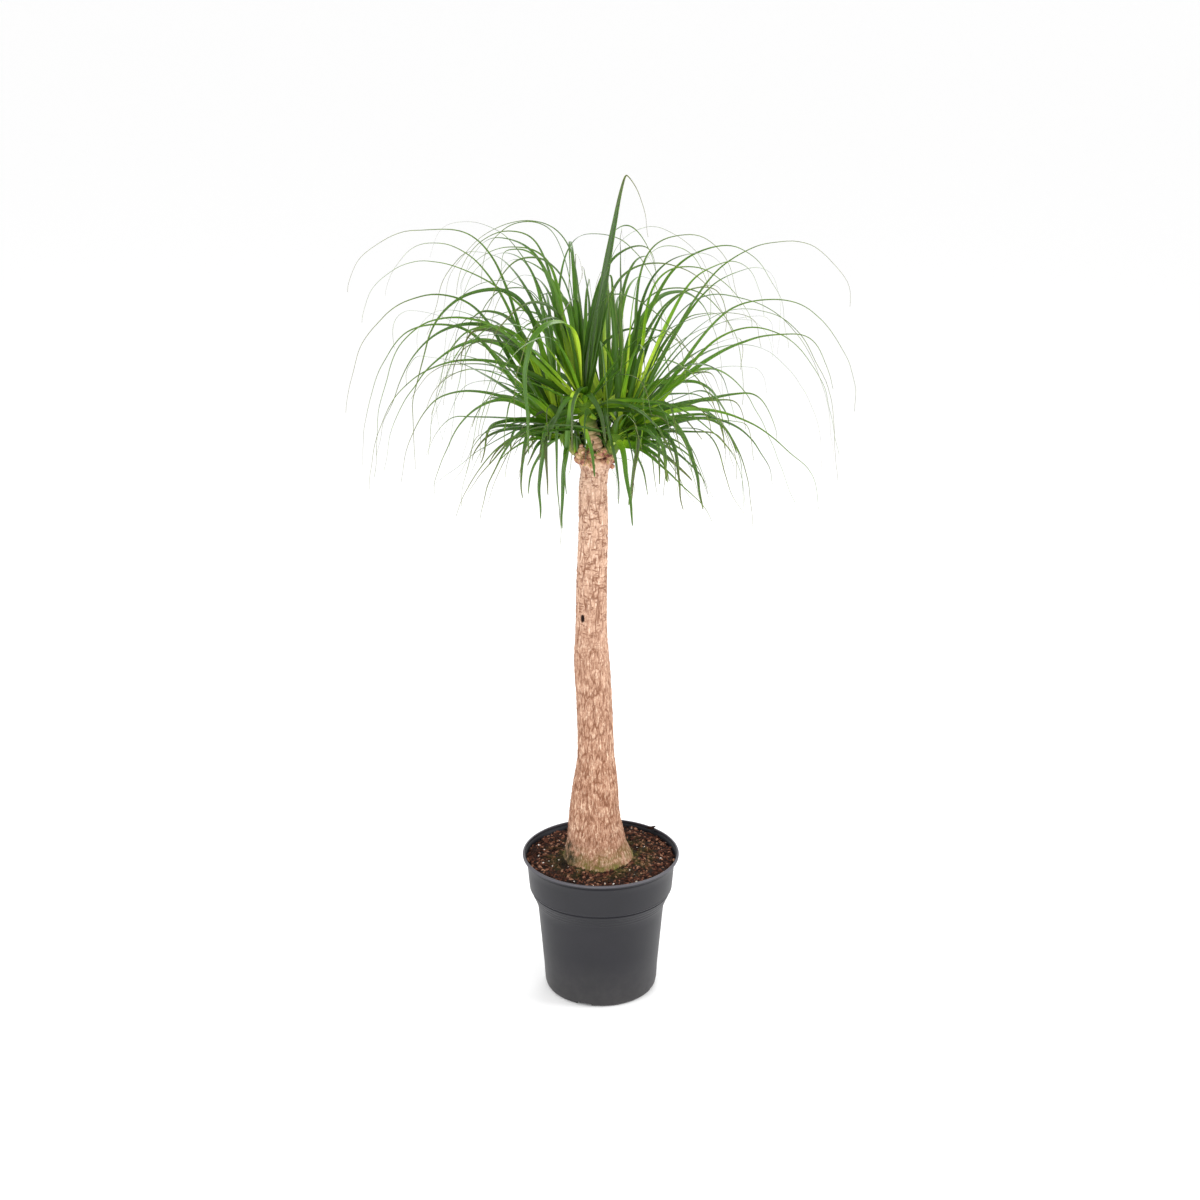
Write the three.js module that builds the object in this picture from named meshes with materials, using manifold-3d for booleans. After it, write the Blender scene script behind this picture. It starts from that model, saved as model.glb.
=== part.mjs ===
// Potted ponytail palm: a woody trunk with a swollen foot, four heads of long strap leaves on the
// shoots of its sawn top, a root ball of bark soil and a thin plastic nursery pot.
// Millimetres, +Z up. Origin: the middle of the pot's foot, on the surface it stands on.
// The viewer stands at -Y. The crown reaches equally far on all sides of the pot's axis.

import * as THREE from 'three';
import { mergeVertices } from 'three/addons/utils/BufferGeometryUtils.js';
import Module from 'manifold-3d';

const wasm = await Module();
wasm.setup();

// ---------------------------------------------------------------- driving dimensions

const GAP = 0.3; // between two pieces that touch

const POT = {
  wall: 2,
  sides: 36,
  floorUnder: 7, // the floor is raised off the surface by this
  floorOver: 10,
  lip: 245, // the wall is thicker above this
  floorRadius: 95.5, // outside of the wall at the floor
  footInner: 84,
  footOuter: 90,
  notch: { width: 27, height: 6, count: 4, first: THREE.MathUtils.degToRad(-108) },
  drain: { radius: 5, ring: 58, count: 6, sides: 8 },
  cutter: 30, // length of what cuts a notch
};

// outside of the pot from its foot to the lip: [radius, height]
const POT_OUTSIDE = [
  [90, 0], [95, 2.5], [97.5, 12], [99, 40], [108.6, 149], [110.6, 159], [115, 171],
  [120.6, 182], [123.4, 190], [125, 208], [126.4, 230], [127.4, 242], [133.6, 244],
  [134.8, 246], [134.6, 249], [133, 250], [130.8, 249.5],
];

const SOIL = {
  sides: 36,
  middle: 243, // top of the heap against the trunk
  edge: 240, // where it meets the pot's wall
  lump: 1.8, // how far the chips' waves rise and fall
  foot: 93, // radius where it stands on the pot's floor
  rings: [124, 110, 95, 80, 64], // rings of points over its top
  hole: 252, // the hole for the trunk is cut down from this height
};

const TRUNK = {
  sides: 20,
  ringStep: 19, // height between rings of the bark relief
  top: 955,
  buried: 168, // lowest point, under the soil
  plate: 1.1, // how far the bark plates stand out
};

// the trunk's middle and radius up its height: [height, radius, x of its middle]
const TRUNK_FORM = [
  [180, 34, -4], [192, 51, -4], [210, 63, -4], [232, 64, -4], [252, 57, -5.5], [271, 51, -7.5],
  [300, 46.8, -9.5], [330, 42.8, -11], [375, 39, -9.5], [400, 35.5, -8.5], [435, 31.4, -8.3],
  [520, 30.3, -10.8], [600, 30, -15], [650, 26.8, -16], [740, 25.5, -15], [830, 24.5, -12.3],
  [900, 23.4, -12.6], [928, 22.8, -10.5], [938, 25.5, -9], [949, 27.5, -9], [955, 22, -9.5],
];

const CORE = { length: 46, radius: 16, tipRadius: 4, sides: 10 }; // the bud that a head's leaves grow from
const SHOOT = { radius: 11.5, sides: 10, steps: 5, start: 936 };

// each head's growing tip, the way it leans, how many leaves it tries to grow, and where its spiral starts
const HEADS = [
  { name: 'head_centre', tip: [-32, -16, 1064], axis: [-0.24, -0.10, 0.96], leaves: 62, phase: 200 },
  { name: 'head_left', tip: [-78, 16, 1026], axis: [-0.45, 0.10, 0.89], leaves: 56, phase: 150 },
  { name: 'head_right', tip: [40, -10, 1018], axis: [0.40, -0.08, 0.91], leaves: 64, phase: 20 },
  { name: 'head_back', tip: [10, 60, 1036], axis: [0.12, 0.42, 0.90], leaves: 52, phase: 90 },
];
const [CENTRE, LEFT, RIGHT, BACK] = HEADS.keys();

const CROWN = {
  reach: 400, // furthest from the pot's axis, on each side
  low: 822, // no leaf hangs lower
  high: 1340, // only the tall leaf goes higher
  frontRise: 0.42, // towards the viewer the low limit rises by this share of the distance
  open: { middle: -8, half: 55, level: 985, rise: 0.35, free: 8 }, // kept open in front of the trunk
  view: { middle: -35, half: 42, front: -60, level: 1040 }, // kept open in front of the middle head
  trunk: { middle: -11, clear: 42, over: 15 }, // kept clear round the trunk's top
};

const BLADE = {
  steps: 48, // points on a leaf's path
  piece: 118, // about the length between two splits of the blade
  fewest: 4,
  most: 8,
  merge: 0.15, // corners closer than this are merged
  least: 1.3, // width of the thread that a leaf ends in
  keel: 0.17, // depth of the keel as a share of the width
  leastKeel: 0.9,
  taper: [0.9, 2.1], // how fast a short and a long blade narrow
  long: [180, 320], // a blade is short up to this length, and long when it is this much longer
  sharpBend: 0.1, // the tall leaf folds over sharply
};

// ---------------------------------------------------------------- small helpers

const vec = (x, y, z) => new THREE.Vector3(x, y, z);
const mix = (a, b, t) => a + (b - a) * t;

// a random draw that gives the same numbers wherever it runs
class Draw {
  constructor(seed) {
    this.state = seed % 2147483647 || 1;
    for (let k = 0; k < 4; k += 1) this.next();
  }

  next() {
    this.state = (this.state * 48271) % 2147483647;
    return this.state / 2147483647;
  }

  between(low, high) {
    return low + (high - low) * this.next();
  }
}

// a closed three.js geometry as a solid that can be joined and cut
function solid(geometry) {
  const bare = geometry.clone();
  for (const name of Object.keys(bare.attributes)) {
    if (name !== 'position') bare.deleteAttribute(name);
  }
  const merged = mergeVertices(bare, 1e-4);
  return new wasm.Manifold(new wasm.Mesh({
    numProp: 3,
    vertProperties: new Float32Array(merged.attributes.position.array),
    triVerts: new Uint32Array(merged.index.array),
  }));
}

// a closed geometry from its points and triangles
function closed(points, faces) {
  const geometry = new THREE.BufferGeometry();
  geometry.setAttribute('position', new THREE.Float32BufferAttribute(points.flatMap((p) => p.toArray()), 3));
  geometry.setIndex(faces.flat());
  return geometry;
}

// rings of points, each a closed loop of the same size, skinned and closed at both ends
function skin(rings) {
  const size = rings[0].length;
  const faces = [];
  for (let r = 0; r + 1 < rings.length; r += 1) {
    for (let k = 0; k < size; k += 1) {
      const a = r * size + k;
      const b = r * size + ((k + 1) % size);
      faces.push([a, b, b + size], [a, b + size, a + size]);
    }
  }
  const points = rings.flat();
  for (const [first, turn] of [[0, true], [(rings.length - 1) * size, false]]) {
    for (let k = 1; k + 1 < size; k += 1) {
      faces.push(turn ? [first, first + k + 1, first + k] : [first, first + k, first + k + 1]);
    }
  }
  return closed(points, faces);
}

// the largest outer shell of a solid: loose scraps go, and hollows that joining sealed are filled
function outerShell(body) {
  const mesh = body.getMesh();
  const count = mesh.vertProperties.length / mesh.numProp;
  const owner = Array.from({ length: count }, (_, k) => k);
  const find = (k) => {
    while (owner[k] !== k) {
      owner[k] = owner[owner[k]];
      k = owner[k];
    }
    return k;
  };
  const tris = mesh.triVerts;
  for (let t = 0; t < tris.length; t += 3) {
    owner[find(tris[t])] = find(tris[t + 1]);
    owner[find(tris[t + 1])] = find(tris[t + 2]);
  }
  const point = (k) => vec(...mesh.vertProperties.slice(k * mesh.numProp, k * mesh.numProp + 3));
  const shells = new Map();
  for (let t = 0; t < tris.length; t += 3) {
    const key = find(tris[t]);
    if (!shells.has(key)) shells.set(key, { volume: 0, faces: [] });
    const shell = shells.get(key);
    const [a, b, c] = [0, 1, 2].map((k) => point(tris[t + k]));
    shell.volume += a.dot(b.cross(c)) / 6;
    shell.faces.push([tris[t], tris[t + 1], tris[t + 2]]);
  }
  const best = [...shells.values()].sort((p, q) => q.volume - p.volume)[0];
  return closed(Array.from({ length: count }, (_, k) => point(k)), best.faces);
}

function named(name, geometry, colour, roughness) {
  const material = new THREE.MeshStandardMaterial({ color: colour, roughness, metalness: 0 });
  const mesh = new THREE.Mesh(geometry, material);
  mesh.name = name;
  return mesh;
}

// ---------------------------------------------------------------- pot

function potInside() {
  // the wall follows the outside at its own thickness, from the lip down to the floor
  const inside = POT_OUTSIDE.filter(([, z]) => z > POT.floorOver * 2 && z < POT.lip).reverse();
  return inside.map(([r, z]) => [r - POT.wall, z + POT.wall / 2]);
}

function pot() {
  const floor = [[POT.floorRadius - POT.wall, POT.floorOver], [0, POT.floorOver], [0, POT.floorUnder]];
  const foot = [[POT.footInner, POT.floorUnder], [POT.footInner, 0], [POT.footOuter, 0]];
  const profile = [...POT_OUTSIDE, ...potInside(), ...floor, ...foot];
  const lathe = new THREE.LatheGeometry(profile.map(([r, z]) => new THREE.Vector2(r, z)), POT.sides);
  lathe.rotateX(Math.PI / 2);
  const cutters = [];
  for (let k = 0; k < POT.notch.count; k += 1) {
    const angle = POT.notch.first + (k * 2 * Math.PI) / POT.notch.count;
    const cutter = new THREE.BoxGeometry(POT.cutter, POT.notch.width, 2 * POT.notch.height);
    cutter.translate(POT.footOuter, 0, 0);
    cutters.push(solid(cutter.rotateZ(angle)));
  }
  for (let k = 0; k < POT.drain.count; k += 1) {
    const angle = (k * 2 * Math.PI) / POT.drain.count;
    const { radius, ring, sides } = POT.drain;
    const cutter = new THREE.CylinderGeometry(radius, radius, 2 * POT.floorOver, sides).rotateX(Math.PI / 2);
    cutter.translate(ring * Math.cos(angle), ring * Math.sin(angle), POT.floorOver);
    cutters.push(solid(cutter));
  }
  return named('pot', outerShell(solid(lathe).subtract(wasm.Manifold.union(cutters))), 0x46464b, 0.55);
}

// ---------------------------------------------------------------- trunk

// one column of TRUNK_FORM at a height, eased between its rows
function along(height, column) {
  const rows = TRUNK_FORM;
  const next = Math.max(1, rows.findIndex((row) => row[0] >= height));
  const [low, high] = [rows[next - 1], rows[next]];
  const t = Math.min(1, Math.max(0, (height - low[0]) / (high[0] - low[0])));
  return mix(low[column], high[column], t * t * (3 - 2 * t) * 0.4 + t * 0.6);
}

// bark plates: rows of blocks, each row turned against the last, sunk to nothing under the soil
function barkRelief(height, angle) {
  const { smoothstep } = THREE.MathUtils;
  const shown = smoothstep(height, 246, 275) * (1 - smoothstep(height, 925, 940));
  const row = Math.sin(height / 7.4 + 0.8 * Math.sin(2 * angle + 1));
  const block = Math.sin(7 * angle + 1.7 * Math.sin(height / 31));
  return shown * TRUNK.plate * (0.6 * row * block + 0.4 * Math.sin(3 * angle - height / 43));
}

function callus(height, angle) {
  const { smoothstep } = THREE.MathUtils;
  const shown = smoothstep(height, 930, 940);
  return shown * (1.8 * Math.sin(5 * angle) + 1.2 * Math.sin(9 * angle + height / 4));
}

function trunkRing(height, grow = 0) {
  const ring = [];
  for (let k = 0; k < TRUNK.sides; k += 1) {
    const angle = (k * 2 * Math.PI) / TRUNK.sides;
    const radius = along(height, 1) + barkRelief(height, angle) + callus(height, angle) + grow;
    ring.push(vec(along(height, 2) + radius * Math.cos(angle), radius * Math.sin(angle), height));
  }
  return ring;
}

// the swollen foot under the soil, with room around it when it is the hole in the soil
function buriedFoot(grow, top) {
  const heights = [...TRUNK_FORM.map(([z]) => z).filter((z) => z < top), top];
  const rings = heights.map((z) => trunkRing(z, grow));
  const tip = trunkRing(heights[0], grow).map((p) => vec(mix(-4, p.x, 0.5), p.y * 0.5, TRUNK.buried - grow));
  return skin([tip, ...rings]);
}

function shootSection() {
  const shape = new THREE.Shape();
  for (let k = 0; k < SHOOT.sides; k += 1) {
    const angle = (k * 2 * Math.PI) / SHOOT.sides;
    const point = [SHOOT.radius * Math.cos(angle), SHOOT.radius * Math.sin(angle)];
    if (k === 0) shape.moveTo(...point);
    else shape.lineTo(...point);
  }
  return shape;
}

// a head's foot: where its core ends, along the way it leans
function footOf(head) {
  const axis = vec(...head.axis).normalize();
  return vec(...head.tip).addScaledVector(axis, -CORE.length);
}

function shoot(head) {
  const axis = vec(...head.axis).normalize();
  const end = footOf(head).addScaledVector(axis, -GAP);
  const start = vec(mix(along(SHOOT.start, 2), end.x, 0.15), 0.15 * end.y, SHOOT.start);
  const path = new THREE.CubicBezierCurve3(
    start,
    vec(mix(start.x, end.x, 0.45), mix(start.y, end.y, 0.45), mix(start.z, end.z, 0.3)),
    end.clone().addScaledVector(axis, -0.45 * start.distanceTo(end)),
    end,
  );
  const extrude = { extrudePath: path, steps: SHOOT.steps, bevelEnabled: false };
  return new THREE.ExtrudeGeometry(shootSection(), extrude);
}

function trunk() {
  const heights = [...TRUNK_FORM.map(([z]) => z).filter((z) => z < 260)];
  for (let z = 262; z < 925; z += TRUNK.ringStep) heights.push(z);
  heights.push(...TRUNK_FORM.map(([z]) => z).filter((z) => z > 925));
  const rings = heights.map((z) => trunkRing(z));
  const tip = rings[0].map((p) => vec(mix(-4, p.x, 0.5), p.y * 0.5, TRUNK.buried));
  const sawn = rings.at(-1).map((p) => vec(mix(-9.5, p.x, 0.55), p.y * 0.55, TRUNK.top + 1.5));
  const stem = solid(skin([tip, ...rings, sawn]));
  const shoots = HEADS.map((head) => solid(shoot(head)));
  return named('trunk', outerShell(wasm.Manifold.union([stem, ...shoots])), 0xcfa58c, 0.9);
}

// ---------------------------------------------------------------- soil

// height of the heaped chips at a place, lumpy by a sum of waves
function soilTop(x, y) {
  const radius = Math.hypot(x, y);
  const heap = mix(SOIL.middle, SOIL.edge, Math.min(1, radius / 125));
  const waves = Math.sin(x / 9 + 2 * Math.sin(y / 17)) * Math.sin(y / 8 + 1) + 0.6 * Math.sin((x - y) / 13);
  return heap + SOIL.lump * waves;
}

function soil() {
  const wall = potInside().filter(([, z]) => z < SOIL.edge - 6).reverse();
  const side = [[SOIL.foot, POT.floorOver + GAP], ...wall.map(([r, z]) => [r - GAP, z + GAP / 2])];
  const rings = side.map(([r, z]) => [r, z, false]);
  for (const r of SOIL.rings) rings.push([r, 0, true]);
  const loops = rings.map(([r, z, top]) => {
    const loop = [];
    for (let k = 0; k < SOIL.sides; k += 1) {
      const angle = ((k + (top ? 0.5 * (r % 2) : 0)) * 2 * Math.PI) / SOIL.sides;
      const [x, y] = [r * Math.cos(angle), r * Math.sin(angle)];
      loop.push(vec(x, y, top ? soilTop(x, y) : z));
    }
    return loop;
  });
  const ball = solid(skin(loops));
  const hole = solid(buriedFoot(GAP, SOIL.hole));
  return named('soil', outerShell(ball.subtract(hole)), 0x5a4132, 0.95);
}

// ---------------------------------------------------------------- leaves: their paths

const GOLDEN = THREE.MathUtils.degToRad(137.508); // turn from one leaf to the next

// how a leaf grows, from the youngest of its head to the oldest, each leaf a little by chance
const GROWTH = {
  depth: [0.08, 0.95], // how far down the bud it is rooted, as a share of its length
  out: [0.15, 0.62], // how far out it is rooted, as a share of the bud's radius
  tilt: [84, -16], // degrees it rises from the shoot's side
  rise: [110, 285], // length up to its crest, the oldest first
  risesBy: [0.55, 1.3],
  drop: [50, 300], // height that it hangs from its crest
  oldDrop: 0.6, // share of it for the oldest leaf
  spread: 190, // most that it reaches past its crest
  width: [17, 11.5],
  widthBy: [0.82, 1.12],
  taperBy: [0.7, 1.3],
  turn: 0.6, // how far its face is turned towards the viewer
};

function rooted(head, age, around) {
  const w = vec(...head.axis).normalize();
  const u = vec(0, 1, 0).cross(w).normalize();
  const v = w.clone().cross(u);
  const side = u.multiplyScalar(Math.cos(around)).addScaledVector(v, Math.sin(around));
  const depth = CORE.length * mix(...GROWTH.depth, age);
  const out = CORE.radius * mix(...GROWTH.out, Math.sqrt(age));
  const root = vec(...head.tip).addScaledVector(w, -depth).addScaledVector(side, out);
  return { root, side, w };
}

// Leaves that shape the outline, chosen by hand: head, crest, tip, width, degrees it rises at first
const OUTLINE_LEAVES = [
  [CENTRE, [40, -20, 1400], [78, 0, 1308], 27, 78], // the tall one
  [CENTRE, [-145, -50, 1320], [-220, -70, 1225], 15, 60],
  [CENTRE, [-130, 40, 1285], [-220, 60, 1215], 13, 66],
  [LEFT, [-255, 30, 1315], [-400, 30, 1215], 10, 62],
  [LEFT, [-270, 130, 1275], [-355, 160, 1185], 10, 60],
  [BACK, [-285, 120, 1245], [-390, 150, 1140], 9, 50],
  [LEFT, [-260, -60, 1225], [-395, -80, 1045], 13, 45],
  [LEFT, [-255, 40, 1160], [-390, 60, 915], 12, 35],
  [CENTRE, [-230, -90, 1195], [-355, -110, 950], 12, 40],
  [CENTRE, [55, 30, 1285], [80, 60, 1115], 14, 84], // folded over behind
  [RIGHT, [130, 20, 1305], [220, 20, 1200], 10, 75],
  [BACK, [195, 130, 1270], [310, 165, 1095], 13, 60],
  [RIGHT, [135, -50, 1265], [230, -80, 1180], 15, 66],
  [RIGHT, [295, 20, 1295], [395, 30, 1195], 9, 60],
  [RIGHT, [265, -40, 1215], [400, -50, 1040], 10, 40],
  [RIGHT, [240, 30, 1155], [385, 40, 950], 10, 30],
  [CENTRE, [-45, -60, 1220], [-60, -110, 1180], 16, 86], // bright, upright in the middle
  [CENTRE, [-30, -95, 1085], [-45, -120, 995], 13, 45],
  [RIGHT, [0, -60, 1150], [25, -90, 910], 13, 88], // hangs in front of the trunk's top
  [CENTRE, [-85, -150, 1205], [-130, -190, 1060], 14, 66],
  [LEFT, [-115, -30, 1005], [-195, -40, 855], 11, 10],
  [CENTRE, [-65, -60, 1025], [-65, -75, 825], 11, 0], // the longest hanging one
  [RIGHT, [60, -50, 1015], [50, -90, 895], 11, 10],
  [RIGHT, [160, -20, 1020], [245, -30, 840], 11, 20],
  [LEFT, [-160, -20, 1050], [-270, -20, 900], 11, 25],
  [RIGHT, [160, -60, 1045], [345, -80, 885], 12, 30],
  [LEFT, [-210, 20, 1055], [-325, 30, 905], 9, 30],
  [CENTRE, [-100, -230, 1190], [-170, -400, 1060], 13, 50], // furthest forward
  [BACK, [60, 240, 1200], [120, 400, 1040], 13, 50], // furthest back
  [RIGHT, [110, -200, 1150], [190, -370, 1020], 13, 45],
  [BACK, [-60, 230, 1160], [-120, 370, 1000], 13, 45],
  [LEFT, [-105, -40, 1010], [-125, -75, 905], 13, 5], // these hide the left shoot
  [LEFT, [-85, -55, 1005], [-82, -95, 915], 12, 0],
  [RIGHT, [95, -50, 1005], [125, -85, 890], 13, 5], // and these the right one
  [RIGHT, [75, -70, 1020], [95, -130, 940], 12, 15],
];

// a long leaf is drawn out to a thread for most of its length, a short one narrows evenly
function taperOf(root, crest, tip) {
  const reach = crest.distanceTo(root) + tip.distanceTo(crest);
  const [short, more] = BLADE.long;
  return mix(...BLADE.taper, Math.min(1, Math.max(0, (reach - short) / more)));
}

function outlineLeaf([index, crest, tip, width, degrees]) {
  const head = HEADS[index];
  const rise = THREE.MathUtils.degToRad(degrees);
  const level = vec(crest[0] - head.tip[0], crest[1] - head.tip[1], 0).normalize();
  const { side, w } = rooted(head, 0, 0);
  const around = Math.atan2(level.dot(w.clone().cross(side)), level.dot(side));
  const age = 1 - Math.sin(rise);
  const { root } = rooted(head, 0.9 * age, around);
  const roll = 1.2 * level.x; // its face turned towards the viewer
  const out = level.multiplyScalar(Math.cos(rise)).setZ(Math.sin(rise));
  const shape = { root, out, crest: vec(...crest), tip: vec(...tip), lean: 0.1 };
  const tall = shape.crest.z > CROWN.high;
  const taper = tall ? 1 : taperOf(root, shape.crest, shape.tip);
  return { index, ...shape, width, roll, twist: 0, taper, age, bend: tall ? BLADE.sharpBend : 1 };
}

// One leaf of a head's spiral: the youngest stand up in the middle, the oldest spread and hang.
// A leaf that met another is drawn again, each time a little more freely.
function spiralLeaf(index, number, attempt) {
  const head = HEADS[index];
  const draw = new Draw(1 + 7919 * (index * 1000 + number) + 104729 * attempt);
  const age = (number + 0.5) / head.leaves;
  const loose = 1 + attempt / 25;
  const around = THREE.MathUtils.degToRad(head.phase) + number * GOLDEN + draw.between(-0.3, 0.3) * loose;
  const { root, side, w } = rooted(head, age, around);
  const tilt = THREE.MathUtils.degToRad(mix(...GROWTH.tilt, age ** 0.9) + draw.between(-8, 8) * loose);
  const out = side.clone().multiplyScalar(Math.cos(tilt)).addScaledVector(w, Math.sin(tilt)).normalize();
  const steep = Math.max(0, out.z);
  const rise = mix(...GROWTH.rise, Math.min(1, 1.4 * (1 - age))) * draw.between(...GROWTH.risesBy)
    * mix(0.45, 1, Math.min(1, 2 * steep));
  let heading = Math.atan2(out.y, out.x) + draw.between(-0.2, 0.2);
  const far = rise * Math.cos(0.9 * Math.asin(out.z));
  const climb = 0.84 * rise * steep ** 1.3;
  const crest = vec(root.x + far * Math.cos(heading), root.y + far * Math.sin(heading), root.z + climb);
  heading += draw.between(-0.3, 0.3);
  const drop = mix(...GROWTH.drop, draw.next() ** 1.6) * mix(1, GROWTH.oldDrop, age);
  const spread = Math.min(GROWTH.spread, drop * draw.between(0.5, 1.25) * mix(0.8, 1.4, age));
  const tip = vec(crest.x + spread * Math.cos(heading), crest.y + spread * Math.sin(heading), crest.z - drop);
  const lean = draw.between(-0.3, 0.5) + 0.5 * age;
  const width = mix(...GROWTH.width, age ** 0.7) * draw.between(...GROWTH.widthBy);
  const roll = draw.between(-0.7, 0.7) + GROWTH.turn * Math.cos(heading);
  const twist = draw.between(-1, 1);
  const taper = draw.between(...GROWTH.taperBy) * taperOf(root, crest, tip);
  return { index, root, out, crest, tip, lean, width, roll, twist, taper, age, bend: 1 };
}

// from the root up to the crest, level there, then down to the tip
function pathOf(leaf) {
  const { root, crest, tip } = leaf;
  const first = vec(crest.x - root.x, crest.y - root.y, 0).normalize();
  const second = vec(tip.x - crest.x, tip.y - crest.y, 0).normalize();
  const over = first.clone().add(second).normalize();
  if (crest.z < root.z + 1) over.setZ(-0.15).normalize();
  const down = vec(second.x * leaf.lean, second.y * leaf.lean, -1).normalize();
  const rise = crest.distanceTo(root);
  const drop = tip.distanceTo(crest);
  const wide = leaf.bend * Math.min(rise, drop);
  const upward = new THREE.CubicBezierCurve3(
    root,
    root.clone().addScaledVector(leaf.out, 0.45 * rise),
    crest.clone().addScaledVector(over, -0.36 * leaf.bend * rise),
    crest,
  );
  const downward = new THREE.CubicBezierCurve3(
    crest,
    crest.clone().addScaledVector(over, Math.min(0.4 * drop, 0.5 * wide)),
    tip.clone().addScaledVector(down, -0.38 * drop),
    tip,
  );
  const before = Math.max(4, Math.round((BLADE.steps * rise) / (rise + drop)));
  const after = BLADE.steps - before;
  const path = [];
  for (let k = 0; k < before; k += 1) path.push(upward.getPoint(k / before));
  for (let k = 0; k <= after; k += 1) path.push(downward.getPoint(k / after));
  return path;
}

// full width: narrow at the root, widest at a sixth, then a long taper to a thread
function widthAt(leaf, s) {
  const grow = 0.45 + 0.55 * Math.min(1, 6 * s);
  return leaf.width * grow * Math.max(0, 1 - s) ** leaf.taper * (1 - 0.2 * s) + BLADE.least;
}

// ---------------------------------------------------------------- leaves: keeping them apart

const SPACE = {
  cell: 16,
  heads: 3.5, // more than the blades' own widths, between two heads
  own: 3, // between the middles of two leaves of one head, past their crowded roots
  rootShare: 0.12, // the share of a leaf that may touch its own head's others
  between: 2 * 5 ** 2, // the points of two paths can miss each other by half a step each
};

class Room {
  constructor() {
    this.cells = new Map();
  }

  static key(i, j, k) {
    return `${i},${j},${k}`;
  }

  static cell(p) {
    return [p.x, p.y, p.z].map((c) => Math.floor(c / SPACE.cell));
  }

  take(point, half, index) {
    const key = Room.key(...Room.cell(point));
    if (!this.cells.has(key)) this.cells.set(key, []);
    this.cells.get(key).push({ point, half, index });
  }

  near(point) {
    const [i, j, k] = Room.cell(point);
    const found = [];
    for (const a of [-1, 0, 1]) {
      for (const b of [-1, 0, 1]) {
        for (const c of [-1, 0, 1]) found.push(...(this.cells.get(Room.key(i + a, j + b, k + c)) ?? []));
      }
    }
    return found;
  }

  isClear(leaf, path) {
    return path.every((point, n) => {
      if (n < 2) return true;
      const s = n / BLADE.steps;
      const half = widthAt(leaf, s) / 2;
      return this.near(point).every((other) => {
        const own = other.index === leaf.index;
        if (own && s < SPACE.rootShare) return true;
        const need = own ? SPACE.own ** 2 : (half + other.half + SPACE.heads) ** 2 + SPACE.between;
        return point.distanceToSquared(other.point) >= need;
      });
    });
  }
}

function insideCrown(path) {
  const { reach, low, high, frontRise, open, view, trunk: stem } = CROWN;
  return path.every(({ x, y, z }, n) => {
    if (Math.abs(x) > reach || Math.abs(y) > reach) return false;
    if (z > high || z < low + frontRise * Math.max(0, -y)) return false;
    const beforeTrunk = y < 0 && Math.abs(x - open.middle) < open.half && z < open.level - open.rise * y;
    if (beforeTrunk && n > open.free) return false;
    if (y < view.front && Math.abs(x - view.middle) < view.half && z > view.level) return false;
    return z >= TRUNK.top + stem.over || Math.hypot(x - stem.middle, y) >= stem.clear;
  });
}

function growLeaves() {
  const room = new Room();
  const leaves = [];
  const keep = (leaf, path) => {
    leaves.push({ ...leaf, path });
    path.forEach((point, n) => room.take(point, widthAt(leaf, n / BLADE.steps) / 2, leaf.index));
  };
  HEADS.forEach((head, index) => {
    const axis = vec(...head.axis).normalize();
    for (let deep = 0; deep < 8; deep += 1) {
      room.take(vec(...head.tip).addScaledVector(axis, -8 * deep), CORE.radius, index);
    }
  });
  for (const row of OUTLINE_LEAVES) {
    const leaf = outlineLeaf(row);
    keep(leaf, pathOf(leaf));
  }
  const order = HEADS.flatMap((head, index) => (
    Array.from({ length: head.leaves }, (_, number) => ({ index, number, age: (number + 0.5) / head.leaves }))
  ));
  order.sort((a, b) => a.age - b.age || a.index - b.index);
  for (const { index, number } of order) {
    for (let attempt = 0; attempt < 40; attempt += 1) {
      const leaf = spiralLeaf(index, number, attempt);
      const path = pathOf(leaf);
      if (insideCrown(path) && room.isClear(leaf, path)) {
        keep(leaf, path);
        break;
      }
    }
  }
  return leaves;
}

// ---------------------------------------------------------------- leaves: their blades

// which points of the path the blade is split at: closer together where it bends
function splits(path) {
  const weight = [0];
  for (let k = 1; k < path.length; k += 1) {
    const step = path[k].clone().sub(path[k - 1]);
    const before = path[k - 1].clone().sub(path[Math.max(0, k - 2)]);
    const bend = k > 1 ? step.angleTo(before) : 0;
    weight.push(weight[k - 1] + step.length() + 70 * bend);
  }
  const total = weight.at(-1);
  const pieces = Math.min(BLADE.most, Math.max(BLADE.fewest, Math.round(total / BLADE.piece)));
  const chosen = [];
  for (let k = 0; k <= pieces; k += 1) {
    const target = (total * k) / pieces;
    chosen.push(weight.findIndex((w) => w >= target - 1e-9));
  }
  return [...new Set(chosen)];
}

// a keeled blade: two edges and a keel under them, turning a little along its length
function blade(leaf) {
  const { path } = leaf;
  const ahead = vec(path.at(-1).x - path[0].x, path.at(-1).y - path[0].y, 0).normalize();
  const across = vec(0, 0, 1).cross(ahead);
  const rings = splits(path).map((n) => {
    const s = n / BLADE.steps;
    const next = path[Math.min(n + 1, path.length - 1)];
    const along = next.clone().sub(path[Math.max(n - 1, 0)]).normalize();
    const flat = across.clone().addScaledVector(along, -across.dot(along)).normalize();
    const up = along.clone().cross(flat);
    const turn = leaf.roll + leaf.twist * s;
    const side = flat.clone().multiplyScalar(Math.cos(turn)).addScaledVector(up, Math.sin(turn));
    const top = along.clone().cross(side);
    const width = widthAt(leaf, s);
    const keel = Math.max(BLADE.leastKeel, BLADE.keel * width);
    return [
      path[n].clone().addScaledVector(side, width / 2).addScaledVector(top, 0.4 * keel),
      path[n].clone().addScaledVector(side, -width / 2).addScaledVector(top, 0.4 * keel),
      path[n].clone().addScaledVector(top, -0.6 * keel),
    ];
  });
  return skin(rings);
}

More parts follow.
